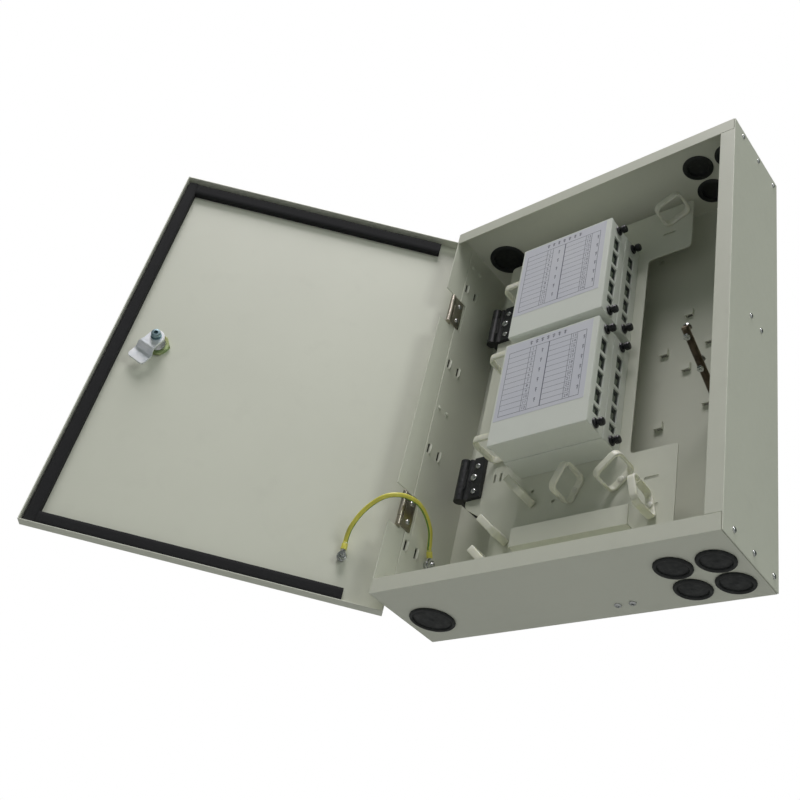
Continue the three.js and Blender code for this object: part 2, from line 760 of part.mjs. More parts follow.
const boxGroup = new THREE.Group();
boxGroup.position.set(-WIDTH / 2, -DEPTH, -HEIGHT / 2);

boxGroup.add(mesh('back_shell', paint, backShell()));
boxGroup.add(mesh('left_wall', paint, leftWall()));
boxGroup.add(mesh('right_cover', paint, rightCover()));
boxGroup.add(mesh('liner_plate', paint, linerPlate()));
boxGroup.add(...grommets());
boxGroup.add(mesh('clamp_post', darkSteel, clampPost()));
CLAMP.screws.forEach((along, i) => {
  boxGroup.add(mesh(`clamp_screw_${i + 1}`, nickel, clampScrew(along)));
});

const wallStudBase = [LINER.x + SHEET + GAP, WALL_STUD.y, WALL_STUD.z];
const wallAway = new THREE.Vector3(0, -0.385, 0.923).normalize();
const wallTerminal = [wallStudBase[0] + TERMINAL.lift, WALL_STUD.y, WALL_STUD.z];
boxGroup.add(mesh('wall_ground_stud', nickel, groundStud(wallStudBase, X)));
boxGroup.add(mesh('lead_terminal_wall', nickel, ringTerminal(wallTerminal, X, wallAway)));
boxGroup.add(mesh('ground_lead', leadJacket, groundLead()));

// the door turns about its hinge pin; everything on it is drawn in the box's own numbers
const doorPivot = new THREE.Group();
doorPivot.position.set(DOOR.pivot[0], DOOR.pivot[1], 0);
doorPivot.rotation.z = THREE.MathUtils.degToRad(-DOOR.openAngle);
boxGroup.add(doorPivot);
const door = new THREE.Group();
door.position.set(-DOOR.pivot[0], -DOOR.pivot[1], 0);
doorPivot.add(door);

door.add(mesh('door_panel', paint, doorPanel()));
door.add(mesh('door_gasket', foam, doorGasket()));
for (const [name, z] of [['lower', HINGE.z[0]], ['upper', HINGE.z[1]]]) {
  boxGroup.add(mesh(`door_hinge_leaf_${name}`, nickel, hingeLeaf(z)));
  door.add(mesh(`door_hinge_strap_${name}`, paint, hingeStrap(z)));
}
const doorStudBase = [DOOR_STUD.x, DOOR.skin + SHEET + GAP, DOOR_STUD.z];
const doorTerminal = [DOOR_STUD.x, doorStudBase[1] + TERMINAL.lift, DOOR_STUD.z];
door.add(mesh('door_ground_stud', nickel, groundStud(doorStudBase, Y)));
door.add(mesh('lead_terminal_door', nickel, ringTerminal(doorTerminal, Y, Z)));

const lock = new THREE.Group();
lock.position.set(LOCK.x, 0, LOCK.z);
door.add(lock);
lock.add(mesh('lock_housing', nickel, lockHousing()));
lock.add(mesh('lock_nut', zinc, lockNut()));
const lockTurn = new THREE.Group();
lockTurn.rotation.y = THREE.MathUtils.degToRad(LOCK.restAngle);
lock.add(lockTurn);
lockTurn.add(mesh('lock_plug', nickel, lockPlug()));
lockTurn.add(mesh('lock_cam', zinc, lockCam()));
lockTurn.add(mesh('lock_cam_screw', darkSteel, camScrew()));

const tray = new THREE.Group();
boxGroup.add(tray);
tray.add(mesh('tray_plate', paint, trayPlate()));
for (const [name, z] of [['lower', TRAY_HINGE.z[0]], ['upper', TRAY_HINGE.z[1]]]) {
  boxGroup.add(mesh(`tray_hinge_base_${name}`, blackPlastic, trayHingeBase(z)));
  tray.add(mesh(`tray_hinge_leaf_${name}`, blackPlastic, trayHingeLeaf(z)));
}
const { cases, plungers } = cassettePieces();
tray.add(...cases, ...plungers);
for (const [name, ring] of Object.entries(RINGS)) tray.add(mesh(name, nylon, cableRing(ring)));

const group = new THREE.Group();
group.add(boxGroup);
export default group;
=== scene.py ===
import json
import math

import bmesh
import bpy
from mathutils import Matrix, Vector


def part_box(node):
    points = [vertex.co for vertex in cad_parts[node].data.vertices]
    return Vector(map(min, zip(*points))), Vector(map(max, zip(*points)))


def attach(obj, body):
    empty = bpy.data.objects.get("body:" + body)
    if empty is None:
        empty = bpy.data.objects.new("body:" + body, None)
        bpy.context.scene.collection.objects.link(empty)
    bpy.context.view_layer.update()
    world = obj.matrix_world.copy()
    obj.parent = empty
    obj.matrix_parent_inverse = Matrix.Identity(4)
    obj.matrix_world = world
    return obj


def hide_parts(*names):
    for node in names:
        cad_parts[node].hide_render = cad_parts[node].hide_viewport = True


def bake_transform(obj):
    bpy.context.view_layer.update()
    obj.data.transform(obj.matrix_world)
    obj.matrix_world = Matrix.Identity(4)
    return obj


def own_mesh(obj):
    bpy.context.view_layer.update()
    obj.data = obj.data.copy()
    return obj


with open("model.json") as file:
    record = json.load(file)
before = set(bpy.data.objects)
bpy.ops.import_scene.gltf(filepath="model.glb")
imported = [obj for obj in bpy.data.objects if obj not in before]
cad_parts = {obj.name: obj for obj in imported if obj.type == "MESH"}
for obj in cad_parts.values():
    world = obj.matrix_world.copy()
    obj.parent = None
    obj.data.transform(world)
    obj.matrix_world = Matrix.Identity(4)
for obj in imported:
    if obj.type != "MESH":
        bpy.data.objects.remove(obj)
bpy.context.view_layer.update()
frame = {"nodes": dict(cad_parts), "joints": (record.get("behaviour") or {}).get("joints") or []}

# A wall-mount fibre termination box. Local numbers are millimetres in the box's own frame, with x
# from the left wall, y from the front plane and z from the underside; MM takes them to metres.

MM = 0.001
NODES = frame["nodes"]

# ---- camera

CAMERA = {
    "location": (0.48535, -0.73550, -0.69067),
    "rotation": (127.1997, -12.0701, 38.5457),  # degrees
    "lens": 47.076,  # mm on a 36 mm sensor
}


def add_camera():
    data = bpy.data.cameras.new("camera")
    data.lens = CAMERA["lens"]
    data.sensor_width = 36.0
    data.clip_start = 0.01
    camera = bpy.data.objects.new("camera", data)
    camera.location = CAMERA["location"]
    camera.rotation_euler = [math.radians(angle) for angle in CAMERA["rotation"]]
    bpy.context.scene.collection.objects.link(camera)
    bpy.context.scene.camera = camera


add_camera()

# ---- frames of the moving bodies


def joint(name):
    return next(j for j in frame["joints"] if j["name"] == name)


def shift(x, y, z):
    return Matrix.Translation((x, y, z))


def turn(degrees, axis):
    return Matrix.Rotation(math.radians(degrees), 4, axis)


def closed_to_open(name):
    """The turn that takes a closed hinge to its rest pose, in world metres."""
    hinge = joint(name)
    pin = Vector(hinge["pos_m"])
    swing = turn(-hinge["range_deg"][0], Vector(hinge["axis"]))
    return Matrix.Translation(pin) @ swing @ Matrix.Translation(-pin)


WIDTH, DEPTH, HEIGHT = 357, 103, 500
SHEET = 1.2
GAP = 0.3  # clearance between neighbouring solids
LINER_FACE = 2 * SHEET + GAP  # inner face of the liner plate
BACK_Y = DEPTH - SHEET
TRAY_Y = 65  # front face of the tray
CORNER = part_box("left_wall")[0]

BOX = Matrix.Translation(CORNER) @ Matrix.Scale(MM, 4)
DOOR = closed_to_open("door_hinge") @ BOX  # the door is drawn shut
LOCK = {"x": 311, "z": 244.5, "cam_back": 10}
CAM_THICKNESS = 2.5
LOCK_FIXED = DOOR @ shift(LOCK["x"], 0, LOCK["z"])
LOCK_TURNED = LOCK_FIXED @ turn(-joint("lock_turn")["range_deg"][0], "Y")

UP_TO_Y = turn(-90, "X")  # local z becomes +y
UP_TO_MINUS_Y = turn(90, "X")
UP_TO_X = turn(90, "Y")
UP_TO_MINUS_X = turn(-90, "Y")
UP_TO_MINUS_Z = turn(180, "X")

# ---- material helpers


def srgb(red, green, blue):
    """Linear colour of an sRGB triple from 0 to 255."""
    def linear(value):
        value /= 255
        return value / 12.92 if value <= 0.04045 else ((value + 0.055) / 1.055) ** 2.4
    return (linear(red), linear(green), linear(blue), 1.0)


def shade(colour, factor):
    return (colour[0] * factor, colour[1] * factor, colour[2] * factor, 1.0)


class Surface:
    """A Principled material whose nodes are added by name, read in object coordinates."""

    def __init__(self, name, colour, roughness, metallic=0.0):
        self.material = bpy.data.materials.new(name)
        self.material.use_nodes = True
        self.tree = self.material.node_tree
        self.shader = self.tree.nodes["Principled BSDF"]
        self.shader.inputs["Base Color"].default_value = colour
        self.shader.inputs["Roughness"].default_value = roughness
        self.shader.inputs["Metallic"].default_value = metallic
        self.place = self.node("ShaderNodeTexCoord").outputs["Object"]
        self.colour = None
        self.normal = None

    def node(self, kind, **settings):
        node = self.tree.nodes.new(kind)
        for name, value in settings.items():
            setattr(node, name, value)
        return node

    def link(self, output, target):
        self.tree.links.new(output, target)

    def noise(self, scale, detail=3.0, stretch=None):
        node = self.node("ShaderNodeTexNoise")
        node.inputs["Scale"].default_value = scale
        node.inputs["Detail"].default_value = detail
        place = self.place
        if stretch:
            mapping = self.node("ShaderNodeMapping")
            mapping.inputs["Scale"].default_value = stretch
            self.link(self.place, mapping.inputs["Vector"])
            place = mapping.outputs["Vector"]
        self.link(place, node.inputs["Vector"])
        return node.outputs["Fac"]

    def cells(self, scale):
        node = self.node("ShaderNodeTexVoronoi")
        node.inputs["Scale"].default_value = scale
        self.link(self.place, node.inputs["Vector"])
        return node.outputs["Distance"]

    def between(self, value, low, high, to_low=0.0, to_high=1.0):
        node = self.node("ShaderNodeMapRange")
        for name, number in zip(("From Min", "From Max", "To Min", "To Max"), (low, high, to_low, to_high)):
            node.inputs[name].default_value = number
        self.link(value, node.inputs["Value"])
        return node.outputs["Result"]

    def tint(self, factor, colour):
        """Mixes another colour over the base colour where factor is high."""
        mix = self.node("ShaderNodeMix", data_type="RGBA")
        base = self.shader.inputs["Base Color"]
        if self.colour is None:
            mix.inputs[6].default_value = base.default_value[:]
        else:
            self.link(self.colour, mix.inputs[6])
        mix.inputs[7].default_value = colour
        self.link(factor, mix.inputs[0])
        self.colour = mix.outputs[2]
        self.link(self.colour, base)

    def rough(self, value, low, high, to_low, to_high):
        self.link(self.between(value, low, high, to_low, to_high), self.shader.inputs["Roughness"])

    def mottle(self, scale, detail, low, high, most, colour):
        """Tints patches of noise, from none at low to most at high."""
        self.tint(self.between(self.noise(scale, detail), low, high, 0.0, most), colour)

    def vary_gloss(self, scale, detail, smooth, coarse):
        self.rough(self.noise(scale, detail), 0.3, 0.7, smooth, coarse)

    def bump(self, height, distance, strength=1.0):
        """Raises the surface by height, up to distance in millimetres."""
        node = self.node("ShaderNodeBump")
        node.inputs["Distance"].default_value = distance * MM
        node.inputs["Strength"].default_value = strength
        self.link(height, node.inputs["Height"])
        if self.normal is not None:
            self.link(self.normal, node.inputs["Normal"])
        self.normal = node.outputs["Normal"]
        self.link(self.normal, self.shader.inputs["Normal"])


# ---- materials

PAINT_COLOUR = srgb(212, 215, 200)
CASE_COLOUR = srgb(224, 229, 220)


def finish(name, colour, roughness, patches, gloss=None, grain=None, metallic=0.0):
    """A surface with patches of other tints, an uneven gloss and a fine grain."""
    part = Surface(name, colour, roughness, metallic)
    for patch in patches:
        part.mottle(*patch)
    if gloss:
        part.vary_gloss(*gloss)
    if grain:
        scale, detail, depth, strength = grain
        part.bump(part.noise(scale, detail), depth, strength)
    return part.material


def powder_coat(name, colour):
    """Sprayed powder coat: orange peel, a faint mottle and a little handling grime."""
    patches = [(5, 4, 0.35, 0.75, 1.0, shade(colour, 0.95)), (30, 6, 0.60, 0.85, 0.22, shade(colour, 0.78))]
    return finish(name, colour, 0.45, patches, (160, 4, 0.36, 0.52), (1100, 2, 0.035, 0.6))


def plated(name, colour, roughness, tint=None):
    """Bright plating with a few fine scratches and a cloudy tarnish."""
    plate = Surface(name, colour, roughness, 1.0)
    plate.mottle(60, 3, 0.45, 0.75, 0.6, tint or shade(colour, 0.8))
    plate.rough(plate.noise(150, 4, (1.0, 1.0, 0.2)), 0.3, 0.75, roughness * 0.85, roughness * 1.3)
    plate.bump(plate.noise(600, 2, (1.0, 1.0, 0.15)), 0.003, 0.3)
    return plate.material


def yellow_passivate():
    """Yellow-green passivated zinc, whose thin film shifts in colour."""
    patches = [(45, 2, 0.45, 0.65, 0.7, srgb(150, 186, 130)), (60, 2, 0.55, 0.75, 0.6, srgb(206, 196, 120))]
    return finish("yellow_zinc", srgb(176, 184, 138), 0.32, patches, (300, 3, 0.26, 0.40), metallic=1.0)


def blue_passivate():
    """Clear blue-white passivated zinc, cloudy enough to catch the light from any side."""
    patches = [(70, 3, 0.45, 0.7, 0.7, srgb(206, 216, 226))]
    return finish("blue_zinc", srgb(240, 243, 246), 0.42, patches, (120, 3, 0.34, 0.52), metallic=0.55)


def rubber():
    patches = [(260, 5, 0.55, 0.8, 0.4, srgb(70, 76, 70))]
    return finish("grommet_rubber", srgb(24, 27, 27), 0.55, patches, (180, 4, 0.42, 0.68),
                  (1500, 3, 0.02, 0.5))


def closed_cell_foam():
    foam = Surface("foam", srgb(22, 23, 25), 0.95)
    foam.tint(foam.between(foam.cells(1400), 0.0, 0.5, 0.35, 0.0), srgb(48, 50, 52))
    foam.bump(foam.cells(1300), 0.18, 0.8)
    return foam.material


def black_plastic():
    patches = [(150, 5, 0.55, 0.8, 0.35, srgb(66, 68, 70))]
    return finish("black_plastic", srgb(26, 28, 31), 0.34, patches, (300, 4, 0.26, 0.48),
                  (1900, 2, 0.015, 0.5))


def adapter_plastic():
    patches = [(120, 4, 0.5, 0.75, 0.5, srgb(56, 78, 66))]
    return finish("adapter_plastic", srgb(30, 44, 38), 0.4, patches, (350, 3, 0.3, 0.5))


def natural_nylon():
    """Milky unfilled nylon that lets some light through."""
    part = Surface("nylon", srgb(228, 229, 214), 0.42)
    part.mottle(60, 4, 0.4, 0.7, 0.5, srgb(206, 209, 190))
    part.shader.inputs["Subsurface Weight"].default_value = 0.35
    part.shader.inputs["Subsurface Radius"].default_value = (0.004, 0.004, 0.003)
    part.shader.inputs["Subsurface Scale"].default_value = 1.0
    part.vary_gloss(240, 3, 0.34, 0.52)
    part.bump(part.noise(700, 2), 0.02, 0.4)
    return part.material


# The clamp rod is nickel-plated; its darker brownish colour stands in for the box's inside that it reflects:
# painted reflection.
def rod_nickel_painted_reflection():
    patches = [(160, 4, 0.45, 0.75, 0.7, srgb(84, 74, 62))]
    return finish("rod_nickel_painted_reflection", srgb(128, 116, 100), 0.36, patches, (300, 3, 0.28, 0.5), metallic=0.9)


def label_paper():
    patches = [(14, 3, 0.4, 0.7, 0.7, srgb(212, 214, 219))]
    return finish("label_paper", srgb(206, 209, 217), 0.62, patches, grain=(700, 4, 0.02, 0.4))


def ink():
    patches = [(900, 2, 0.4, 0.7, 0.5, srgb(138, 141, 152))]
    return finish("label_ink", srgb(96, 99, 112), 0.6, patches)


def jacket(name, colour):
    patches = [(110, 4, 0.45, 0.75, 0.4, shade(colour, 0.7))]
    return finish(name, colour, 0.36, patches, (260, 3, 0.28, 0.46))


def split_by_ray(tree, lit, seen, surface):
    """Shows one shader to the camera, and uses the other in the light that reaches the box."""
    mix = tree.nodes.new("ShaderNodeMixShader")
    rays = tree.nodes.new("ShaderNodeLightPath")
    tree.links.new(rays.outputs["Is Camera Ray"], mix.inputs["Fac"])
    tree.links.new(lit, mix.inputs[1])
    tree.links.new(seen, mix.inputs[2])
    tree.links.new(mix.outputs["Shader"], surface)


def pale_floor():
    """Pale and faintly glowing to look at, and a mid grey in the light that it throws back up."""
    floor = Surface("floor", srgb(176, 177, 176), 0.7)
    floor.mottle(3, 3, 0.4, 0.7, 0.6, srgb(171, 173, 171))
    tree = floor.material.node_tree
    surface = tree.nodes["Material Output"].inputs["Surface"]
    thrown = surface.links[0].from_socket
    seen = tree.nodes.new("ShaderNodeBsdfDiffuse")
    seen.inputs["Color"].default_value = (0.78, 0.78, 0.77, 1)
    glow = tree.nodes.new("ShaderNodeEmission")
    glow.inputs["Color"].default_value = (0.3, 0.3, 0.297, 1)
    both = tree.nodes.new("ShaderNodeAddShader")
    tree.links.new(seen.outputs["BSDF"], both.inputs[0])
    tree.links.new(glow.outputs["Emission"], both.inputs[1])
    split_by_ray(tree, thrown, both.outputs["Shader"], surface)
    return floor.material


PAINT = powder_coat("paint", PAINT_COLOUR)
CASE_PAINT = powder_coat("case_paint", CASE_COLOUR)
NICKEL = plated("nickel", srgb(206, 208, 208), 0.26)
# The hinges are nickel-plated; this darker, browner copy of the nickel is painted shade and reflection for
# the dark inside of the box.
HINGE_NICKEL_SHADED = plated("hinge_nickel_painted_shade", srgb(188, 181, 168), 0.3)
BLUE_ZINC = blue_passivate()
BLUED_STEEL = plated("blued_steel", srgb(150, 174, 180), 0.36, srgb(96, 116, 124))
YELLOW_ZINC = yellow_passivate()
ROD_NICKEL_PAINTED_REFLECTION = rod_nickel_painted_reflection()
RUBBER = rubber()
FOAM = closed_cell_foam()
BLACK_PLASTIC = black_plastic()
ADAPTER = adapter_plastic()
FLAP = jacket("dust_flap", srgb(112, 122, 108))
NYLON = natural_nylon()
PAPER = label_paper()
INK = ink()
YELLOW_JACKET = jacket("lead_yellow", srgb(222, 216, 92))
GREEN_JACKET = jacket("lead_green", srgb(104, 150, 70))
# Near-black painted shade, put in slot gaps and socket openings where there is only shade.
HOLE_SHADE = jacket("painted_hole_shade", srgb(14, 15, 15))
# Darker grey wall behind the tie loops: painted shade for the hollow behind each loop.
LOOP_HOLLOW_SHADE = jacket("painted_loop_shade", srgb(128, 130, 118))
PALE_WALL = jacket("pale_wall", srgb(204, 207, 192))

# ---- mesh helpers


def piece(name, bm, matrix, material, body, replaces=(), bevel=0.0, smooth=40):
    """Turns a local millimetre bmesh into a placed, bevelled piece that rides on a body."""
    bmesh.ops.recalc_face_normals(bm, faces=bm.faces)
    mesh = bpy.data.meshes.new(name)
    bm.to_mesh(mesh)
    bm.free()
    mesh.transform(matrix)
    for material_used in material if isinstance(material, list) else [material]:
        mesh.materials.append(material_used)
    mesh.shade_smooth()
    made = bpy.data.objects.new(name, mesh)
    bpy.context.scene.collection.objects.link(made)
    if bevel:
        soften(made, bevel)
    else:
        mesh.set_sharp_from_angle(angle=math.radians(smooth))
    if body:
        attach(made, body)
    if replaces:
        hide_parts(*replaces)
    return made


def soften(target, width, segments=2):
    bevel = target.modifiers.new("edges", "BEVEL")
    bevel.width = width * MM
    bevel.segments = segments
    bevel.limit_method = "ANGLE"
    bevel.angle_limit = math.radians(32)
    bevel.harden_normals = True


def block(bm, x, y, z):
    """Adds a closed box to bm from three (low, high) spans."""
    size = Matrix.Diagonal((x[1] - x[0], y[1] - y[0], z[1] - z[0], 1))
    centre = shift((x[0] + x[1]) / 2, (y[0] + y[1]) / 2, (z[0] + z[1]) / 2)
    bmesh.ops.create_cube(bm, size=1.0, matrix=centre @ size)


def span(centre, length):
    return (centre - length / 2, centre + length / 2)


def loft(bm, loops):
    """Joins a row of equal loops, closes both ends, and gives back the side faces in order."""
    sides = []
    for first, second in zip(loops, loops[1:]):
        for i in range(len(first)):
            j = (i + 1) % len(first)
            sides.append(bm.faces.new((first[i], first[j], second[j], second[i])))
    bm.faces.new(loops[0])
    bm.faces.new(loops[-1])
    return sides


def rings_solid(bm, levels, sides, matrix=None):
    """Adds a solid made of stacked closed rings; a level is (radius or radius(angle), height).
    A first or last radius of zero closes that end at a point, otherwise the ends join each other."""
    loops = []
    for radius, height in levels:
        if radius == 0:
            loops.append([bm.verts.new((0, 0, height))])
            continue
        loop = []
        for i in range(sides):
            angle = 2 * math.pi * i / sides
            reach = radius(angle) if callable(radius) else radius
            loop.append(bm.verts.new((reach * math.cos(angle), reach * math.sin(angle), height)))
        loops.append(loop)
    pairs = list(zip(loops, loops[1:]))
    if len(loops[0]) > 1:
        pairs.append((loops[-1], loops[0]))
    for low, high in pairs:
        for i in range(sides):
            j = (i + 1) % sides
            if len(low) == 1:
                bm.faces.new((low[0], high[j], high[i]))
            elif len(high) == 1:
                bm.faces.new((low[i], low[j], high[0]))
            else:
                bm.faces.new((low[i], low[j], high[j], high[i]))
    if matrix is not None:
        bmesh.ops.transform(bm, matrix=matrix, verts=[v for loop in loops for v in loop])


def hexagon(apothem):
    """Radius of a hexagon at an angle."""
    def radius(angle):
        return apothem / math.cos((angle % (math.pi / 3)) - math.pi / 6)
    return radius


def smaller(first, limit):
    return lambda angle: min(first(angle), limit)


def cross(length, width):
    """Radius of a cross recess with arms of that length and half width."""
    def radius(angle):
        cos, sin = abs(math.cos(angle)) + 1e-6, abs(math.sin(angle)) + 1e-6
        return max(min(length / cos, width / sin), min(width / cos, length / sin))
    return radius


def pan_screw(bm, matrix, radius=3.2, height=2.0):
    """A cross-recessed pan-head screw seated on the local z = 0 plane."""
    recess = cross(radius * 0.62, radius * 0.15)
    rings_solid(bm, [
        (0, -0.6), (radius * 0.7, -0.6), (radius * 0.98, 0.0), (radius, height * 0.3),
        (radius * 0.93, height * 0.66), (radius * 0.78, height * 0.88), (radius * 0.66, height),
        (recess, height), (recess, height * 0.5), (0, height * 0.4),
    ], 48, matrix)


def hex_nut(bm, matrix, apothem, thickness, bore, sides=72):
    outline = hexagon(apothem)
    circle = apothem * 1.03
    chamfer = apothem * 0.09
    rings_solid(bm, [
        (bore, 0.0), (smaller(outline, circle), 0.0), (outline, chamfer), (outline, thickness - chamfer),
        (smaller(outline, circle), thickness), (bore + 0.4, thickness), (bore, thickness - 0.4),
    ], sides, matrix)


def threaded(length, radius, pitch=0.8, tip=0.7):
    """Profile of a threaded shank from its root to its chamfered tip."""
    profile = [(0, 0.0), (radius, 0.0)]
    turns = int((length - tip) / pitch)
    for i in range(turns):
        profile.append((radius * 0.86, (i + 0.5) * pitch))
        profile.append((radius, (i + 1) * pitch))
    return profile + [(radius * 0.8, length), (0, length)]


# ---- folded sheet metal


def coat_node(name, material, bevel=0.4):
    """Gives a CAD node its finish and soft edges, without moving a vertex."""
    node = NODES[name]
    node.data.materials.clear()
    node.data.materials.append(material)
    node.data.shade_smooth()
    weld = node.modifiers.new("weld", "WELD")
    weld.merge_threshold = 0.01 * MM
    flat = node.modifiers.new("flat", "DECIMATE")
    flat.decimate_type = "DISSOLVE"
    flat.angle_limit = math.radians(1)
    soften(node, bevel)
    normals = node.modifiers.new("normals", "WEIGHTED_NORMAL")
    normals.keep_sharp = True


def sheet_metal():
    for name in ("back_shell", "left_wall", "liner_plate", "door_panel", "tray_plate"):
        coat_node(name, PAINT)
    coat_node("right_cover", PAINT, 0.58)
    for end in ("lower", "upper"):
        coat_node(f"door_hinge_strap_{end}", HINGE_NICKEL_SHADED, 0.25)
        coat_node(f"door_hinge_leaf_{end}", HINGE_NICKEL_SHADED, 0.2)
        coat_node(f"tray_hinge_base_{end}", BLACK_PLASTIC, 0.5)
        coat_node(f"tray_hinge_leaf_{end}", BLACK_PLASTIC, 0.5)
    coat_node("lock_plug", NICKEL, 0.25)


COVER_SCREWS = [(y, z) for z in (10.5, HEIGHT - 10.5) for y in (18.8, 54.9, 92.6)]
COVER_SCREWS += [(43.2, 256), (65.1, 255.5)]
FLOOR_SCREWS = {"x": (221.4, 235.8), "y": 84}
LINER_RIVETS = [(34.6, 471), (47.8, 470.6), (46.5, 249.8), (33, 249.8)]
RIVET_DOME = [(0, -0.4), (2.0, -0.4), (2.6, 0.0), (2.4, 0.7), (1.6, 1.15), (0, 1.3)]


def wall_screws():
    """Pan-head screws that hold the right cover, and two under the floor of the box."""
    bm = bmesh.new()
    for y, z in COVER_SCREWS:
        pan_screw(bm, shift(WIDTH, y, z) @ UP_TO_X, 2.6, 1.5)
    piece("cover_screws", bm, BOX, NICKEL, "enclosure")
    bm = bmesh.new()
    for x in FLOOR_SCREWS["x"]:
        pan_screw(bm, shift(x, FLOOR_SCREWS["y"], 0) @ UP_TO_MINUS_Z, 3.4, 1.8)
    piece("floor_screws", bm, BOX, NICKEL, "enclosure")


def rivets():
    """Domed rivets along the liner plate and at the left wall's corners."""
    bm = bmesh.new()
    for y, z in LINER_RIVETS:
        rings_solid(bm, RIVET_DOME, 32, shift(LINER_FACE, y, z) @ UP_TO_X)
    piece("liner_rivets", bm, BOX, PAINT, "enclosure")
    bm = bmesh.new()
    for y in (18, 62):
        for z in (7, HEIGHT - 7):
            rings_solid(bm, RIVET_DOME, 32, shift(0, y, z) @ UP_TO_MINUS_X)
    piece("side_rivets", bm, BOX, PAINT, "enclosure")


TIE_LOOPS = [(238, 299), (238, 203), (264, 346), (264, 271), (288, 300), (288, 220)]
WALL_HOLES = [(75, 60), (75, 440), (225, 60), (225, 440)]
LINER_SLOTS = {"y": (30.5, 47.5), "z": (71, 193, 313, 433)}


LIP_PROFILE = [(1.6, 0.0), (1.8, 2.1), (2.1, 2.4), (2.5, 2.2), (4.2, 0.0)]  # (aside, height)
LIP_ENDS = [(-6.6, 0.3), (-5.4, 0.85), (-3, 1.0), (0, 1.0), (3, 1.0), (5.4, 0.85), (6.6, 0.3)]


def slot_lips():
    """The pressed-up edge beside each cable-tie slot of the liner plate, and a near-black strip of painted
    shade behind it.
    """
    lips = bmesh.new()
    slot_shade = bmesh.new()
    for z in LINER_SLOTS["z"]:
        for y in LINER_SLOTS["y"]:
            loft(lips, [[lips.verts.new((LINER_FACE + 0.05 + lift * rise, y + aside, z + end))
                         for aside, lift in LIP_PROFILE] for end, rise in LIP_ENDS])
            # A near-black strip between the liner and the left wall, seen through the slot: painted shade for
            # the depth of the slot.
            block(slot_shade, (SHEET + 0.35, SHEET + 0.6), span(y, 2.1), span(z, 11.6))
    piece("liner_slot_lips", lips, BOX, PAINT, "enclosure")
    piece("liner_slot_shade", slot_shade, BOX, HOLE_SHADE, "enclosure", bevel=0.05)


# ---- rubber grommets


def grommet(node):
    """A blind grommet: a rolled outer flange, a groove, and a stepped membrane with a centre pip."""
    low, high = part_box(node)
    radius = (high.x - low.x) / 2 / MM
    centre = (low + high) / 2
    outward = 1 if centre.z > 0 else -1
    wall = CORNER.z + (HEIGHT * MM if outward > 0 else 0)
    neck = radius - 2.8
    levels = [(0, -0.4), (neck - 3.2, -0.4), (neck - 2.6, -SHEET - 2), (radius - 1.2, -SHEET - 2)]
    levels += [(radius - 0.2, -SHEET - 1.2), (radius - 0.2, -SHEET - 0.4), (neck, -SHEET - 0.3), (neck, 0.3)]
    levels += [(radius - 0.1, 0.3)]
    for i in range(9):
        angle = math.pi * i / 8
        levels.append((radius - 1.9 + 1.9 * math.cos(angle), 0.7 + 2.0 * math.sin(angle)))
    levels += [(neck - 2.6, 1.1), (neck * 0.62, 1.25), (neck * 0.35, 1.5), (2.2, 1.6), (1.6, 1.9), (0, 2.0)]
    bm = bmesh.new()
    rings_solid(bm, levels, 72)
    matrix = Matrix.Translation((centre.x, centre.y, wall)) @ Matrix.Scale(MM, 4)
    if outward < 0:
        matrix = matrix @ UP_TO_MINUS_Z
    piece(f"{node}_rubber", bm, matrix, RUBBER, "enclosure", [node])


def grommets():
    for level in ("bottom", "top"):
        for which in ("large", "1", "2", "3", "4"):
            grommet(f"grommet_{level}_{which}")


# ---- door: gasket, hinges, lock

DOOR_SPAN = {"x": (-5.5, WIDTH + 5.5), "z": (-5.5, HEIGHT + 5.5), "skin": -6.5}
GASKET = {"closed": -0.5, "open": 3.0, "top": 16, "top_gap": 5, "side": 12.5, "side_gap": 1.5,
          "bottom": 14, "top_end": 32, "bottom_end": 37}
SEAT = DOOR_SPAN["skin"] + SHEET + GAP  # where things stand on the door's inner face


def foam_strip(bm, x, z):
    """A crowned strip of foam that bulges a little and is cut square at its ends."""
    steps = 60
    along_x = x[1] - x[0] > z[1] - z[0]
    long_span, across = (x, z) if along_x else (z, x)
    height = GASKET["open"] - SEAT
    section = []
    for i in range(9):
        part = i / 8
        crown = 1 - (2 * part - 1) ** 6
        section.append((across[0] + (across[1] - across[0]) * part, SEAT + height * (0.86 + 0.14 * crown)))
    section = [(across[0], SEAT)] + section + [(across[1], SEAT)]
    loops = []
    for step in range(steps + 1):
        far = long_span[0] + (long_span[1] - long_span[0]) * step / steps
        wave = 0.12 * math.sin(step * 1.7) + 0.08 * math.sin(step * 3.1)
        loop = []
        for side, depth in section:
            lift = wave if depth > SEAT + 1 else 0.0
            at = (far, depth - abs(lift), side) if along_x else (side, depth - abs(lift), far)
            loop.append(bm.verts.new(at))
        loops.append(loop)
    loft(bm, loops)


def gasket():
    outer_x = DOOR_SPAN["x"][1] - SHEET - GAP - GASKET["side_gap"]
    top = DOOR_SPAN["z"][1] - SHEET - GAP - GASKET["top_gap"]
    bottom = DOOR_SPAN["z"][0] + SHEET + GAP
    joint_x = outer_x - GASKET["side"] - 0.2  # where the level strips meet the upright one
    strips = {
        "top": ((GASKET["top_end"], joint_x), (top - GASKET["top"], top)),
        "side": ((outer_x - GASKET["side"], outer_x), (bottom, top)),
        "bottom": ((GASKET["bottom_end"], joint_x), (bottom, bottom + GASKET["bottom"])),
    }
    for name, (x, z) in strips.items():
        bm = bmesh.new()
        foam_strip(bm, x, z)
        replaced = ["door_gasket"] if name == "top" else ()
        strip = piece(f"gasket_{name}", bm, DOOR, FOAM, "door", replaced)
        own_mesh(strip)


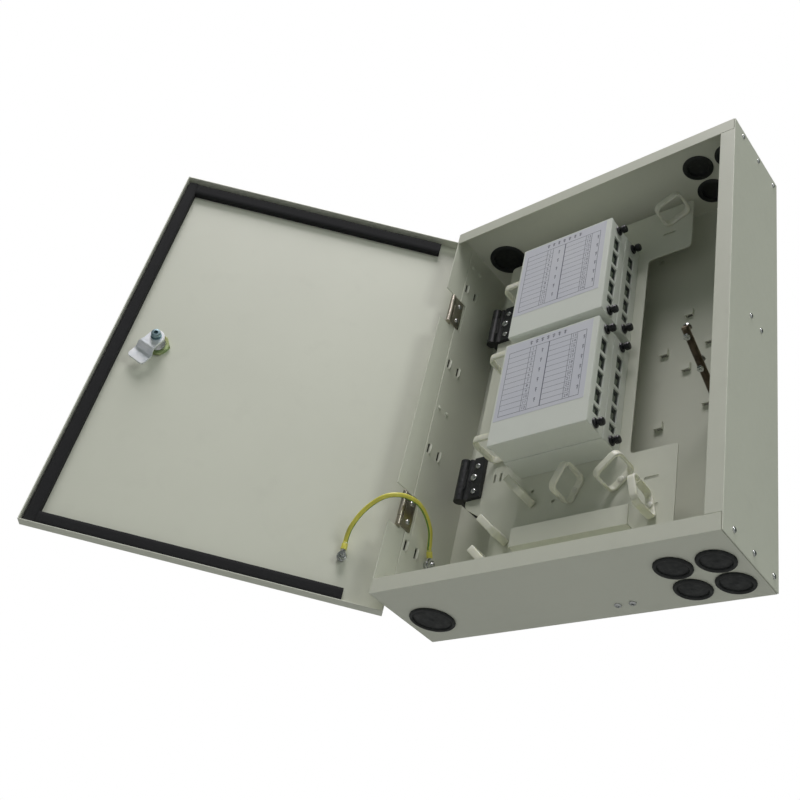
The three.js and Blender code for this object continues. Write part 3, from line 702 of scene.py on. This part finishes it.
def hinge_screws():
    """Two screws in each fixed door-hinge leaf."""
    for end in ("lower", "upper"):
        low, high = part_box(f"door_hinge_leaf_{end}")
        middle = (low.z + high.z) / 2
        bm = bmesh.new()
        for offset in (-11, 11):
            at = Vector((CORNER.x + 3.0 * MM, CORNER.y + 26 * MM, middle + offset * MM))
            pan_screw(bm, Matrix.Translation(at) @ Matrix.Scale(MM, 4) @ UP_TO_X, 2.9, 1.5)
        piece(f"door_hinge_screws_{end}", bm, Matrix.Identity(4), NICKEL, "enclosure")


def lock_housing():
    """The lock's barrel: a face ring in front of the door and a thread behind it."""
    bm = bmesh.new()
    bore = 6.4
    head = [(bore, -11.0), (9.6, -11.0), (10.6, -10.6), (11.0, -9.8), (11.0, -7.2), (10.6, -6.8), (9.0, -6.8)]
    thread = []
    for i in range(13):
        thread += [(9.0, -4.8 + i), (8.6, -4.3 + i)]
    end = [(8.9, 8.6), (8.5, 9.6), (bore, 9.6)]
    rings_solid(bm, head + thread + end, 72, UP_TO_Y)
    piece("lock_barrel", bm, LOCK_FIXED, NICKEL, "door", ["lock_housing"])


def lock_nut():
    bm = bmesh.new()
    hex_nut(bm, shift(0, SEAT, 0) @ UP_TO_Y, 13.0, 4.0, 9.3)
    piece("lock_hex_nut", bm, LOCK_FIXED, YELLOW_ZINC, "door", ["lock_nut"])


def lock_cam():
    """A flat cam with a round end, a double bend and a rounded tip."""
    half, wider, length, thickness = 9.0, 2.2, 35.0, CAM_THICKNESS
    back, tip = LOCK["cam_back"], 3.0
    stations = [-half * math.cos(math.pi / 2 * i / 10) for i in range(10)]
    stations += [0, 9, 14] + [15.5 + i for i in range(7)] + [25, 31, 32.5, 33.6, 34.4, length - 0.2, length]
    rows = []
    for x in stations:
        if x < 0:
            wide = math.sqrt(max(half ** 2 - x ** 2, 0.6))
        else:
            wide = half + wider * min(max((x - 9) / 10, 0.0), 1.0)
            wide -= max(0.0, 4 - math.sqrt(max(16 - max(0.0, x - length + 4) ** 2, 0.0)))
        bend = min(max((x - 15.5) / 6, 0.0), 1.0)
        depth = back + (tip - back) * bend * bend * (3 - 2 * bend)
        front = depth + thickness
        rows.append([(x, depth, -wide), (x, depth, wide), (x, front, wide), (x, front, -wide)])
    bm = bmesh.new()
    loft(bm, [[bm.verts.new(corner) for corner in row] for row in rows])
    bmesh.ops.dissolve_limit(bm, angle_limit=math.radians(1), verts=bm.verts, edges=bm.edges)
    piece("lock_cam_plate", bm, LOCK_TURNED, BLUE_ZINC, "lock", ["lock_cam"], bevel=0.35)


def cam_screw():
    """The socket-head screw and washer that hold the cam."""
    start = LOCK["cam_back"] + CAM_THICKNESS + GAP
    bm = bmesh.new()
    socket = hexagon(2.3)
    rings_solid(bm, [
        (0, 0.0), (5.9, 0.0), (6.1, 0.2), (6.1, 0.8), (5.9, 1.0), (4.9, 1.0), (5.2, 1.4), (5.2, 5.7),
        (4.7, 6.3), (3.4, 6.5), (socket, 6.5), (socket, 3.4), (0, 3.0),
    ], 48, shift(0, start, 0) @ UP_TO_Y)
    piece("lock_socket_screw", bm, LOCK_TURNED, BLUED_STEEL, "lock", ["lock_cam_screw"])


# ---- ground lead, studs, terminals

WALL_STUD = (2 * SHEET + 0.6, 66, 67)
DOOR_STUD = (47.6, SEAT, 44.2)


def ground_stud(name, base, matrix, body, node):
    """A welded stud with a hexagonal foot, a spring washer, a nut and its bare thread."""
    bm = bmesh.new()
    hex_nut(bm, base, 4.1, 3.2, 1.9)
    rings_solid(bm, threaded(10.5, 2.0), 24, base)
    rings_solid(bm, [(2.1, 4.9), (4.4, 4.9), (4.5, 5.1), (4.4, 5.4), (2.1, 5.4)], 36, base)
    hex_nut(bm, base @ shift(0, 0, 5.5), 4.0, 3.1, 2.0)
    piece(name, bm, matrix, NICKEL, body, [node])


EYE = [(2.3, -0.4), (5.0, -0.4), (5.2, -0.2), (5.2, 0.2), (5.0, 0.4), (2.3, 0.4)]
# from the eye to the barrel's mouth: reach, radius, flatness, rise of the middle
BARREL = [
    (4.6, 2.6, 0.14, 0.0), (5.8, 2.4, 0.3, 0.5), (7.0, 2.9, 1.0, 1.2), (9.4, 3.0, 1.0, 1.2),
    (10.0, 2.8, 0.86, 1.2), (11.4, 2.8, 0.86, 1.2), (12.0, 3.0, 1.0, 1.2), (14.0, 3.1, 1.0, 1.2),
]
SLEEVE = [
    (2.95, 6.6), (3.15, 6.7), (3.25, 7.4), (3.15, 13.4), (2.8, 14.6), (2.65, 14.6), (2.95, 13.2),
]


def ring_terminal(name, centre, axis, away, matrix, body, node):
    """A crimped ring terminal: a flat eye, a neck that rolls up, and a barrel with a crimp."""
    side = axis.cross(away).normalized()
    basis = Matrix((away, side, axis)).transposed().to_4x4()
    local = Matrix.Translation(centre) @ basis
    bm = bmesh.new()
    rings_solid(bm, EYE, 48, local)
    loops = []
    sides = 24
    for reach, radius, flat, lift in BARREL:
        loop = []
        for i in range(sides):
            angle = 2 * math.pi * i / sides
            offset = Vector((reach, radius * math.cos(angle), lift + radius * flat * math.sin(angle)))
            loop.append(bm.verts.new(local @ offset))
        loops.append(loop)
    loft(bm, loops)
    piece(name, bm, matrix, NICKEL, body, [node])


LEAD_ROUTE = [
    (-41.5, -9.2, 58.6),
    (-41.3, -9.5, 61.5),
    (-38.5, -11.8, 67),
    (-32, -15.6, 73),
    (-22.2, -16.8, 85),
    (-10.4, -16.2, 95),
    (2.5, -14.8, 101),
    (11.5, -8.5, 105.5),
    (15.5, 4.8, 110.5),
    (17, 21, 112),
    (15.6, 36.2, 108),
    (13.3, 50, 98),
    (9.3, 58.2, 86.5),
    (8.6, 59.3, 83.3),
    (8.5, 60.35, 80.7),
]
LEAD_RADIUS = 2.5
LEAD_SIDES = 24
GREEN_SIDES = {9, 10, 11, 21, 22, 23}  # two stripes, opposite each other


def smooth_route(points, steps):
    """A Catmull-Rom curve through the points, with `steps` places on each stretch."""
    knots = [Vector(p) for p in points]
    knots = [2 * knots[0] - knots[1]] + knots + [2 * knots[-1] - knots[-2]]
    route = []
    for a, b, c, d in zip(knots, knots[1:], knots[2:], knots[3:]):
        for i in range(steps):
            t = i / steps
            route.append(0.5 * (2 * b + (c - a) * t + (2 * a - 5 * b + 4 * c - d) * t * t
                                + (3 * b - a - 3 * c + d) * t ** 3))
    route.append(knots[-2].copy())
    return route


def tube(bm, route, radius, sides, green):
    """Sweeps a round section along route, turning it without twist; faces in green use slot 1."""
    tangent = (route[1] - route[0]).normalized()
    across = tangent.orthogonal().normalized()
    loops = []
    for i, point in enumerate(route):
        ahead = route[min(i + 1, len(route) - 1)] - route[max(i - 1, 0)]
        tangent = ahead.normalized()
        across = (across - tangent * across.dot(tangent)).normalized()
        over = tangent.cross(across)
        loop = []
        for k in range(sides):
            angle = 2 * math.pi * k / sides
            loop.append(bm.verts.new(point + radius * (math.cos(angle) * across + math.sin(angle) * over)))
        loops.append(loop)
    for index, face in enumerate(loft(bm, loops)):
        face.material_index = 1 if index % sides in green else 0


def ground_lead():
    """The stiff yellow and green lead, built in one fixed shape; the real lead bends as the door turns."""
    route = smooth_route(LEAD_ROUTE, 8)
    bm = bmesh.new()
    tube(bm, route, LEAD_RADIUS, LEAD_SIDES, GREEN_SIDES)
    lead = piece("ground_wire", bm, BOX, [YELLOW_JACKET, GREEN_JACKET], None)
    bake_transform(lead)
    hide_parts("ground_lead")


def grounding():
    """The two studs, and the lead between them with its terminals and sleeves."""
    ground_stud("wall_stud", Matrix.Translation(WALL_STUD) @ UP_TO_X, BOX, "enclosure", "wall_ground_stud")
    ground_stud("door_stud", Matrix.Translation(DOOR_STUD) @ UP_TO_Y, DOOR, "door", "door_ground_stud")
    lift = 4.3  # the terminals' eyes stand on the studs' feet
    right, back, up = Vector((1, 0, 0)), Vector((0, 1, 0)), Vector((0, 0, 1))
    away = Vector((0, -0.385, 0.923)).normalized()
    wall_centre = Vector(WALL_STUD) + lift * right
    door_centre = Vector(DOOR_STUD) + lift * back
    ring_terminal("wall_terminal", wall_centre, right, away, BOX, "enclosure", "lead_terminal_wall")
    ring_terminal("door_terminal", door_centre, back, up, DOOR, "door", "lead_terminal_door")
    lead_sleeve("wall_sleeve", wall_centre, right, away, BOX, "enclosure")
    lead_sleeve("door_sleeve", door_centre, back, up, DOOR, "door")
    ground_lead()


def lead_sleeve(name, centre, axis, away, matrix, body):
    """Yellow sleeve pushed over the barrel of a ring terminal."""
    side = axis.cross(away).normalized()
    basis = Matrix((side, away.cross(side), away)).transposed().to_4x4()
    start = Matrix.Translation(centre + axis * 1.2) @ basis
    bm = bmesh.new()
    rings_solid(bm, SLEEVE, 24, start)
    piece(name, bm, matrix, YELLOW_JACKET, body)


# ---- clamp post

CLAMP = {"x": 300, "z": 210, "rise": 28.5, "radius": 4, "length": 86, "screws": (46.5, 80)}


def clamp_post():
    """A threaded post that leans up from its nut, with two upright screws through it."""
    foot = shift(CLAMP["x"], BACK_Y, CLAMP["z"])
    lean = foot @ turn(-CLAMP["rise"], "X") @ UP_TO_MINUS_Y
    bm = bmesh.new()
    hex_nut(bm, foot @ UP_TO_MINUS_Y @ shift(0, 0, 0.3), 6.9, 6.0, 4.4)
    profile = threaded(CLAMP["length"] - CLAMP["radius"], CLAMP["radius"], 1.25, 1.6)
    rings_solid(bm, profile, 40, lean @ shift(0, 0, CLAMP["radius"]))
    piece("clamp_rod", bm, BOX, ROD_NICKEL_PAINTED_REFLECTION, "enclosure", ["clamp_post"])
    for number, along in enumerate(CLAMP["screws"], 1):
        bm = bmesh.new()
        seat = Matrix.Translation((lean @ shift(0, 0, along)).to_translation()) @ shift(0, 0, 6.8)
        pan_screw(bm, seat, 3.3, 3.0)
        rings_solid(bm, threaded(15.5, 1.7, 0.7), 24, seat @ UP_TO_MINUS_Z)
        rings_solid(bm, [(1.8, -1.0), (4.4, -1.0), (4.5, -0.7), (4.4, -0.4), (1.8, -0.4)], 36, seat)
        hex_nut(bm, seat @ shift(0, 0, -14.6), 3.1, 2.4, 1.8)
        piece(f"clamp_bolt_{number}", bm, BOX, NICKEL, "enclosure", [f"clamp_screw_{number}"])


# ---- tray hinges


TRAY_LEAF = 4.7  # thickness of a moulded leaf


def tray_hinge_screws():
    """Three cross-head screws on each moulded leaf, placed from the leaf's own middle."""
    for end in ("lower", "upper"):
        low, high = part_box(f"tray_hinge_leaf_{end}")
        middle = (low.z + high.z) / 2 / MM - CORNER.z / MM
        face = TRAY_Y - GAP - TRAY_LEAF
        bm = bmesh.new()
        for x, offset, radius in ((52, 14, 3.0), (49, 0, 4.0), (52, -18, 3.0)):
            pan_screw(bm, shift(x, face, middle + offset) @ UP_TO_MINUS_Y, radius, 1.8)
        piece(f"tray_hinge_screws_{end}", bm, BOX, NICKEL, "tray")


# ---- splice cassettes

CASE = {"x": 106, "width": 112, "height": 131.6, "depth": 30}
PORT = {"count": 5, "first": 19.6, "pitch": 21.3, "height": 17.3, "last": 9.8, "width": 11}
COVER = 0.8  # folded front cover, thickness
PANEL = 7.0  # depth of the recess behind each port window
CASE_RIGHT = CASE["x"] + CASE["width"]


def port_spans():
    """Heights of the port windows, measured up from the bottom of a case."""
    spans = []
    for i in range(PORT["count"]):
        top = CASE["height"] - PORT["first"] - i * PORT["pitch"]
        spans.append((top - (PORT["last"] if i == PORT["count"] - 1 else PORT["height"]), top))
    return sorted(spans)


def pocketed_box(bm, x, y, z, window, openings, depth):
    """Adds a closed box whose +x face has a column of pockets; openings are rising (low, high) pairs."""
    across = [y[0], *window, y[1]]
    up = [z[0], *[edge for pair in openings for edge in pair], z[1]]
    grid = [[bm.verts.new((x[1], side, level)) for level in up] for side in across]
    for i in range(3):
        for k in range(len(up) - 1):
            corners = [grid[i][k], grid[i + 1][k], grid[i + 1][k + 1], grid[i][k + 1]]
            if i != 1 or k % 2 == 0:
                bm.faces.new(corners)
                continue
            floor = [bm.verts.new(corner.co - Vector((depth, 0, 0))) for corner in corners]
            bm.faces.new(floor)
            for a in range(4):
                b = (a + 1) % 4
                bm.faces.new((corners[a], corners[b], floor[b], floor[a]))
    back = [bm.verts.new((x[0], side, level)) for side, level in
            ((y[0], z[0]), (y[1], z[0]), (y[1], z[1]), (y[0], z[1]))]
    bm.faces.new(back)
    bm.faces.new([column[0] for column in grid] + [back[1], back[0]])
    bm.faces.new([column[-1] for column in grid] + [back[2], back[3]])
    bm.faces.new(grid[0] + [back[3], back[0]])
    bm.faces.new(grid[-1] + [back[2], back[1]])


def case_body(name, y, z, node):
    """The folded case, with its port windows sunk into the right side."""
    deep = (y + COVER + 0.25, y + CASE["depth"])
    tall = (z + COVER, z + CASE["height"] - COVER)
    openings = [(z + low, z + high) for low, high in port_spans()]
    bm = bmesh.new()
    pocketed_box(bm, (CASE["x"] + COVER, CASE_RIGHT), deep, tall,
                 span(y + CASE["depth"] / 2, PORT["width"]), openings, PANEL)
    piece(f"{name}_body", bm, BOX, CASE_PAINT, "tray", [node], bevel=0.3)


def case_cover(name, y, z):
    """The front cover: a plate whose edges turn back over the case on all four sides."""
    lap = {"side": 7.0, "end": 5.0}
    bm = bmesh.new()
    x0, x1 = CASE["x"], CASE_RIGHT
    z0, z1 = z, z + CASE["height"]
    block(bm, (x0, x1), (y, y + COVER), (z0, z1))
    folds = bmesh.new()
    block(folds, (x0, x0 + COVER), (y + COVER, y + lap["side"]), (z0, z1))
    block(folds, (x1 - 0.05, x1 + 0.5), (y + 0.6, y + 4.2), (z0 + 1.0, z1 - 1.0))
    for low in (z0, z1 - COVER):
        block(folds, (x0 + COVER, x1), (y + COVER, y + lap["end"]), (low, low + COVER))
    piece(f"{name}_cover", bm, BOX, CASE_PAINT, "tray", bevel=0.35)
    piece(f"{name}_cover_folds", folds, BOX, CASE_PAINT, "tray", bevel=0.2)


def adapters(name, y, z):
    """Behind each window, a dark adapter with two sockets and a pale dust flap leaning across it."""
    middle = y + CASE["depth"] / 2
    wide = span(middle, PORT["width"] - 0.6)
    bm = bmesh.new()
    holes = bmesh.new()
    flaps = bmesh.new()
    face = CASE_RIGHT - 1.5
    for low, high in port_spans():
        z0, z1 = z + low + 0.3, z + high - 0.3
        block(bm, (CASE_RIGHT - PANEL + 0.1, face), wide, (z0, z1))
        sockets = [(z0 + z1) / 2] if z1 - z0 < 12 else [z0 + 4.2, z1 - 4.2]
        for at in sockets:
            # Each socket opening is a thin near-black patch on the adapter's face: painted shade for the
            # socket's depth.
            block(holes, (face - 0.1, face + 0.15), span(middle + 1, 5.2), span(at, 4.8))
            rings_solid(bm, [(1.25, -1.0), (1.8, -1.0), (1.8, 0.6), (1.25, 0.6)], 24,
                        shift(face, middle + 1, at) @ UP_TO_X)
        first = len(flaps.verts)
        block(flaps, (0.1, 0.5), (wide[0] + 0.5, wide[0] + 4.6), (0.8, (z1 - z0) * 0.5))
        flaps.verts.ensure_lookup_table()
        lean = shift(face + 0.1, 0, z0) @ turn(4, "Y")
        bmesh.ops.transform(flaps, matrix=lean, verts=flaps.verts[first:])
    piece(f"{name}_adapters", bm, BOX, ADAPTER, "tray", bevel=0.12)
    piece(f"{name}_sockets", holes, BOX, HOLE_SHADE, "tray", bevel=0.05)
    piece(f"{name}_flaps", flaps, BOX, FLAP, "tray", bevel=0.12)


def plunger(node):
    """A push-pull latch pin with a ribbed knob, and its fixed collar on the case."""
    low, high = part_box(node)
    panel = CASE_RIGHT * MM + CORNER.x
    place = Matrix.Translation((panel, (low.y + high.y) / 2, (low.z + high.z) / 2))
    matrix = place @ Matrix.Scale(MM, 4) @ UP_TO_X
    bm = bmesh.new()
    knob = [(0, -8), (1.0, -8), (1.8, -5), (1.8, 3.6), (3.0, 4.4), (4.0, 5.2)]
    for i in range(4):
        knob += [(4.2, 5.6 + i), (3.8, 6.1 + i)]
    knob += [(3.6, 9.6), (2.6, 10.0), (0, 10.0)]
    rings_solid(bm, knob, 40, matrix)
    piece(f"{node}_knob", bm, Matrix.Identity(4), BLACK_PLASTIC, node, [node])
    bm = bmesh.new()
    rings_solid(bm, [(2.3, 0.6), (5.2, 0.6), (5.2, 1.3), (4.4, 2.3), (3.2, 2.9), (2.3, 2.9)], 40, matrix)
    piece(f"{node}_collar", bm, Matrix.Identity(4), BLACK_PLASTIC, "tray")


# the printed sheet on a front case: places are shares of the sheet, across and down
LABEL = {
    "x": (108, 212), "height": 101, "top_gap": 1.5, "thickness": 0.15,
    "frame": (0.05, 0.12, 0.94, 0.95), "middle": 0.52, "rows": 12, "columns": (0.30, 0.37, 0.45),
}


class Printer:
    """Collects ink strokes on one label, each a thin raised strip."""

    def __init__(self, y, top):
        self.bm = bmesh.new()
        self.y = (y - LABEL["thickness"] - 0.04, y - LABEL["thickness"] + 0.02)
        self.top = top

    def at(self, across, down):
        x0, x1 = LABEL["x"]
        return x0 + (x1 - x0) * across, self.top - LABEL["height"] * down

    def line(self, start, end, width):
        (xa, za), (xb, zb) = self.at(*start), self.at(*end)
        if abs(xa - xb) < abs(za - zb):
            block(self.bm, span(xa, width), self.y, sorted((za, zb)))
        else:
            block(self.bm, sorted((xa, xb)), self.y, span(za, width))


def row_numbers(name, first, across, y, top):
    """A printed column of row numbers."""
    _, low, _, high = LABEL["frame"]
    row = (high - low) / LABEL["rows"]
    for i in range(LABEL["rows"]):
        curve = bpy.data.curves.new("digits", "FONT")
        curve.body = str(first + i)
        curve.size = 5.0
        curve.align_x = "CENTER"
        curve.align_y = "CENTER"
        curve.extrude = 0.03
        curve.resolution_u = 2
        text = bpy.data.objects.new("digits", curve)
        mesh = bpy.data.meshes.new_from_object(text)
        bpy.data.objects.remove(text)
        x = LABEL["x"][0] + (LABEL["x"][1] - LABEL["x"][0]) * across
        z = top - LABEL["height"] * (low + (i + 0.5) * row)
        bm = bmesh.new()
        bm.from_mesh(mesh)
        stand = shift(x, y - LABEL["thickness"] - 0.02, z) @ turn(90, "X")
        bmesh.ops.transform(bm, matrix=stand, verts=bm.verts)
        piece(f"{name}_number_{first + i}", bm, BOX, INK, "tray")


def label(name, y, z):
    """The paper sheet on a front case: a frame, a centre line, ruled rows and generic marks."""
    top = z + CASE["height"] - LABEL["top_gap"]
    bm = bmesh.new()
    block(bm, LABEL["x"], (y - LABEL["thickness"], y - 0.02), (top - LABEL["height"], top))
    piece(f"{name}_sheet", bm, BOX, PAPER, "tray", bevel=0.05)
    press = Printer(y, top)
    left, upper, right, lower = LABEL["frame"]
    middle = LABEL["middle"]
    for across in (left, right):
        press.line((across, upper), (across, lower), 0.5)
    for down in (upper, lower):
        press.line((left, down), (right, down), 0.5)
    press.line((middle, upper), (middle, lower), 1.1)
    row = (lower - upper) / LABEL["rows"]
    for start in (left, middle):
        wide, marks, words = (start + share - left for share in LABEL["columns"])
        for across in (wide, marks):
            press.line((across, upper), (across, lower), 0.45)
        for i in range(1, LABEL["rows"]):
            press.line((start, upper + i * row), (marks, upper + i * row), 0.35)
        for i in range(6):
            down = upper + (i + 0.6) * (lower - upper) / 6.5
            press.line((words - 0.012, down), (words + 0.012, down), 0.7)
            press.line((words - 0.008, down + 0.02), (words + 0.01, down + 0.02), 0.6)
            press.line((words, down - 0.012), (words, down + 0.045), 0.6)
    for i in range(7):
        across = 0.30 + i * 0.065
        press.line((across - 0.017, 0.045), (across + 0.017, 0.045), 0.8)
        press.line((across - 0.012, 0.068), (across + 0.014, 0.068), 0.7)
        press.line((across, 0.032), (across, 0.085), 0.8)
    piece(f"{name}_print", press.bm, BOX, INK, "tray")
    row_numbers(name, 1, LABEL["columns"][0] + 0.035, y, top)
    row_numbers(name, LABEL["rows"] + 1, middle + LABEL["columns"][0] - left + 0.035, y, top)


def cassettes():
    """Four cases in two rows, each placed from its own CAD node; the front ones carry a label."""
    for row in ("lower", "upper"):
        for layer in ("front", "rear"):
            node = f"cassette_{row}_{layer}"
            low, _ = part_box(node)
            y, z = (low.y - CORNER.y) / MM, (low.z - CORNER.z) / MM
            case_body(node, y, z, node)
            case_cover(node, y, z)
            adapters(node, y, z)
            if layer == "front":
                label(f"label_{row}", y, z)
            for end in ("bottom", "top"):
                plunger(f"plunger_{row}_{layer}_{end}")


# ---- cable rings

RING = {"length": 33, "width": 7.5, "thickness": 3, "corner": 8}
RINGS = {  # foot (x, z), turn in degrees, height
    "ring_left_upper": ((84, 397), 0, 42),
    "ring_left_middle": ((83, 292), 0, 42),
    "ring_left_lower": ((83, 180), 0, 42),
    "ring_corner_left": ((120, 121.5), -48, 31),
    "ring_bottom_middle": ((175.5, 117), 66, 34),
    "ring_bottom_right": ((225.5, 118), 44, 33),
    "ring_lip_right": ((257.5, 82), -78, 36),
    "ring_lip_left": ((95, 82), -45, 30),
    "ring_foot_left": ((93, 46), -45, 32),
    "ring_top_right": ((263, 458.5), 26, 30),
}


def ring_path(height):
    """Centre line of a ring from one side of its slit round to the other, as (point, normal) pairs."""
    half = RING["length"] / 2 - RING["thickness"] / 2
    low, high = RING["thickness"] / 2, height - RING["thickness"] / 2
    radius = RING["corner"] - RING["thickness"] / 2
    slit = height * 0.62
    path = [((-half, slit - 0.7), (-1, 0))]
    corners = [
        (-half + radius, low + radius, 180), (half - radius, low + radius, 270),
        (half - radius, high - radius, 0), (-half + radius, high - radius, 90),
    ]
    for x, y, start in corners:
        for i in range(9):
            angle = math.radians(start + 90 * i / 8)
            normal = (math.cos(angle), math.sin(angle))
            path.append(((x + radius * normal[0], y + radius * normal[1]), normal))
    path.append(((-half, slit + 0.7), (-1, 0)))
    return path


def ring_section():
    """Cross-section of the strip: (across the thickness, across the width), with round edges."""
    half_thick, half_wide, edge = RING["thickness"] / 2, RING["width"] / 2, 0.9
    section = []
    for x, y, start in ((1, 1, 0), (-1, 1, 90), (-1, -1, 180), (1, -1, 270)):
        for i in range(4):
            angle = math.radians(start + 30 * i)
            section.append((x * (half_thick - edge) + edge * math.cos(angle),
                            y * (half_wide - edge) + edge * math.sin(angle)))
    return section


def cable_ring(name, at, degrees, height):
    """A moulded loop with a slanting slit, a moulded foot and a rivet through it."""
    slant = math.tan(0.5)
    bm = bmesh.new()
    loops = []
    path = ring_path(height)
    for index, ((x, z), normal) in enumerate(path):
        at_end = index in (0, len(path) - 1)
        loop = []
        for thick, wide in ring_section():
            rise = slant * wide * 0.55 if at_end else 0.0
            loop.append(bm.verts.new((x + normal[0] * thick, wide, z + normal[1] * thick + rise)))
        loops.append(loop)
    loft(bm, loops)
    rings_solid(bm, [(0, 2.6), (2.9, 2.6), (3.4, 3.0), (3.2, 3.7), (2.0, 4.3), (0, 4.4)], 32)
    along = Vector((math.cos(math.radians(degrees)), 0, math.sin(math.radians(degrees))))
    outward = Vector((0, -1, 0))
    across = outward.cross(along)
    stand = Matrix((along, across, outward)).transposed().to_4x4()
    matrix = BOX @ shift(at[0], TRAY_Y - GAP, at[1]) @ stand
    piece(f"{name}_loop", bm, matrix, NYLON, "tray", [name])


def cable_rings():
    for name, (at, degrees, height) in RINGS.items():
        cable_ring(name, at, degrees, height)


# ---- stage

FLOOR_DROP = 1.05  # metres from the box's middle down to the floor


def add_floor():
    bm = bmesh.new()
    bmesh.ops.create_grid(bm, x_segments=8, y_segments=8, size=6.0)
    mesh = bpy.data.meshes.new("floor")
    bm.to_mesh(mesh)
    bm.free()
    mesh.transform(Matrix.Translation((0, 0, -FLOOR_DROP)))
    mesh.materials.append(pale_floor())
    floor = bpy.data.objects.new("floor", mesh)
    bpy.context.scene.collection.objects.link(floor)


def wall_patches():
    """Spots of wall right behind the openings in the back, so that no background shines through.
    Those behind the tie loops are a darker grey: painted shade for the hollow behind each loop.
    Those behind the wall holes have the paint's own shade, and nearly hide the holes."""
    behind = (DEPTH + 0.1, DEPTH + 0.5)
    loops = bmesh.new()
    # The grey patches behind the tie loops are painted shade for the hollow behind each loop.
    for x, z in TIE_LOOPS:
        block(loops, span(x, 8.4), behind, span(z, 9.6))
    piece("painted_shade_behind_loops", loops, BOX, LOOP_HOLLOW_SHADE, None)
    holes = bmesh.new()
    for x, z in WALL_HOLES:
        disc = [(0, behind[0]), (4.2, behind[0]), (4.2, behind[1]), (0, behind[1])]
        rings_solid(holes, disc, 36, shift(x, 0, z) @ UP_TO_Y)
    piece("wall_behind_holes", holes, BOX, PALE_WALL, None)


# place and disk size in metres, power in watts
LIGHTS = {
    "key": {"at": (0.54, -2.04, 4.53), "size": 3.0, "power": 218, "colour": (1.0, 0.955, 0.985)},
    "side": {"at": (4.6, -0.65, 1.7), "size": 2.4, "power": 64, "colour": (0.985, 1.0, 0.98)},
    "rear": {"at": (-2.6, 3.4, 2.4), "size": 3.0, "power": 66, "colour": (1.0, 1.0, 0.98)},
}
LIGHT_AIM = (0, -0.05, 0)


def add_light(name, at, size, power, colour):
    data = bpy.data.lights.new(name, "AREA")
    data.shape = "DISK"
    data.size = size
    data.energy = power
    data.color = colour
    light = bpy.data.objects.new(name, data)
    light.location = at
    aim = Vector(LIGHT_AIM) - Vector(at)
    light.rotation_euler = aim.to_track_quat("-Z", "Y").to_euler()
    bpy.context.scene.collection.objects.link(light)


def add_world():
    """White to look at, and a dim greenish grey in the light that it gives."""
    world = bpy.data.worlds.new("studio")
    world.use_nodes = True
    tree = world.node_tree
    background = tree.nodes["Background"]
    background.inputs["Color"].default_value = (0.84, 1.0, 0.86, 1.0)
    background.inputs["Strength"].default_value = 0.095
    seen = tree.nodes.new("ShaderNodeBackground")
    seen.inputs["Color"].default_value = (1, 1, 1, 1)
    split_by_ray(tree, background.outputs["Background"], seen.outputs["Background"],
                 tree.nodes["World Output"].inputs["Surface"])
    bpy.context.scene.world = world


def studio():
    add_floor()
    wall_patches()
    add_world()
    for name, light in LIGHTS.items():
        add_light(name, **light)
    bpy.context.scene.view_settings.view_transform = "Standard"


# ---- build

sheet_metal()
wall_screws()
rivets()
slot_lips()
grommets()
gasket()
hinge_screws()
lock_housing()
lock_nut()
lock_cam()
cam_screw()
grounding()
clamp_post()
tray_hinge_screws()
cassettes()
cable_rings()
studio()
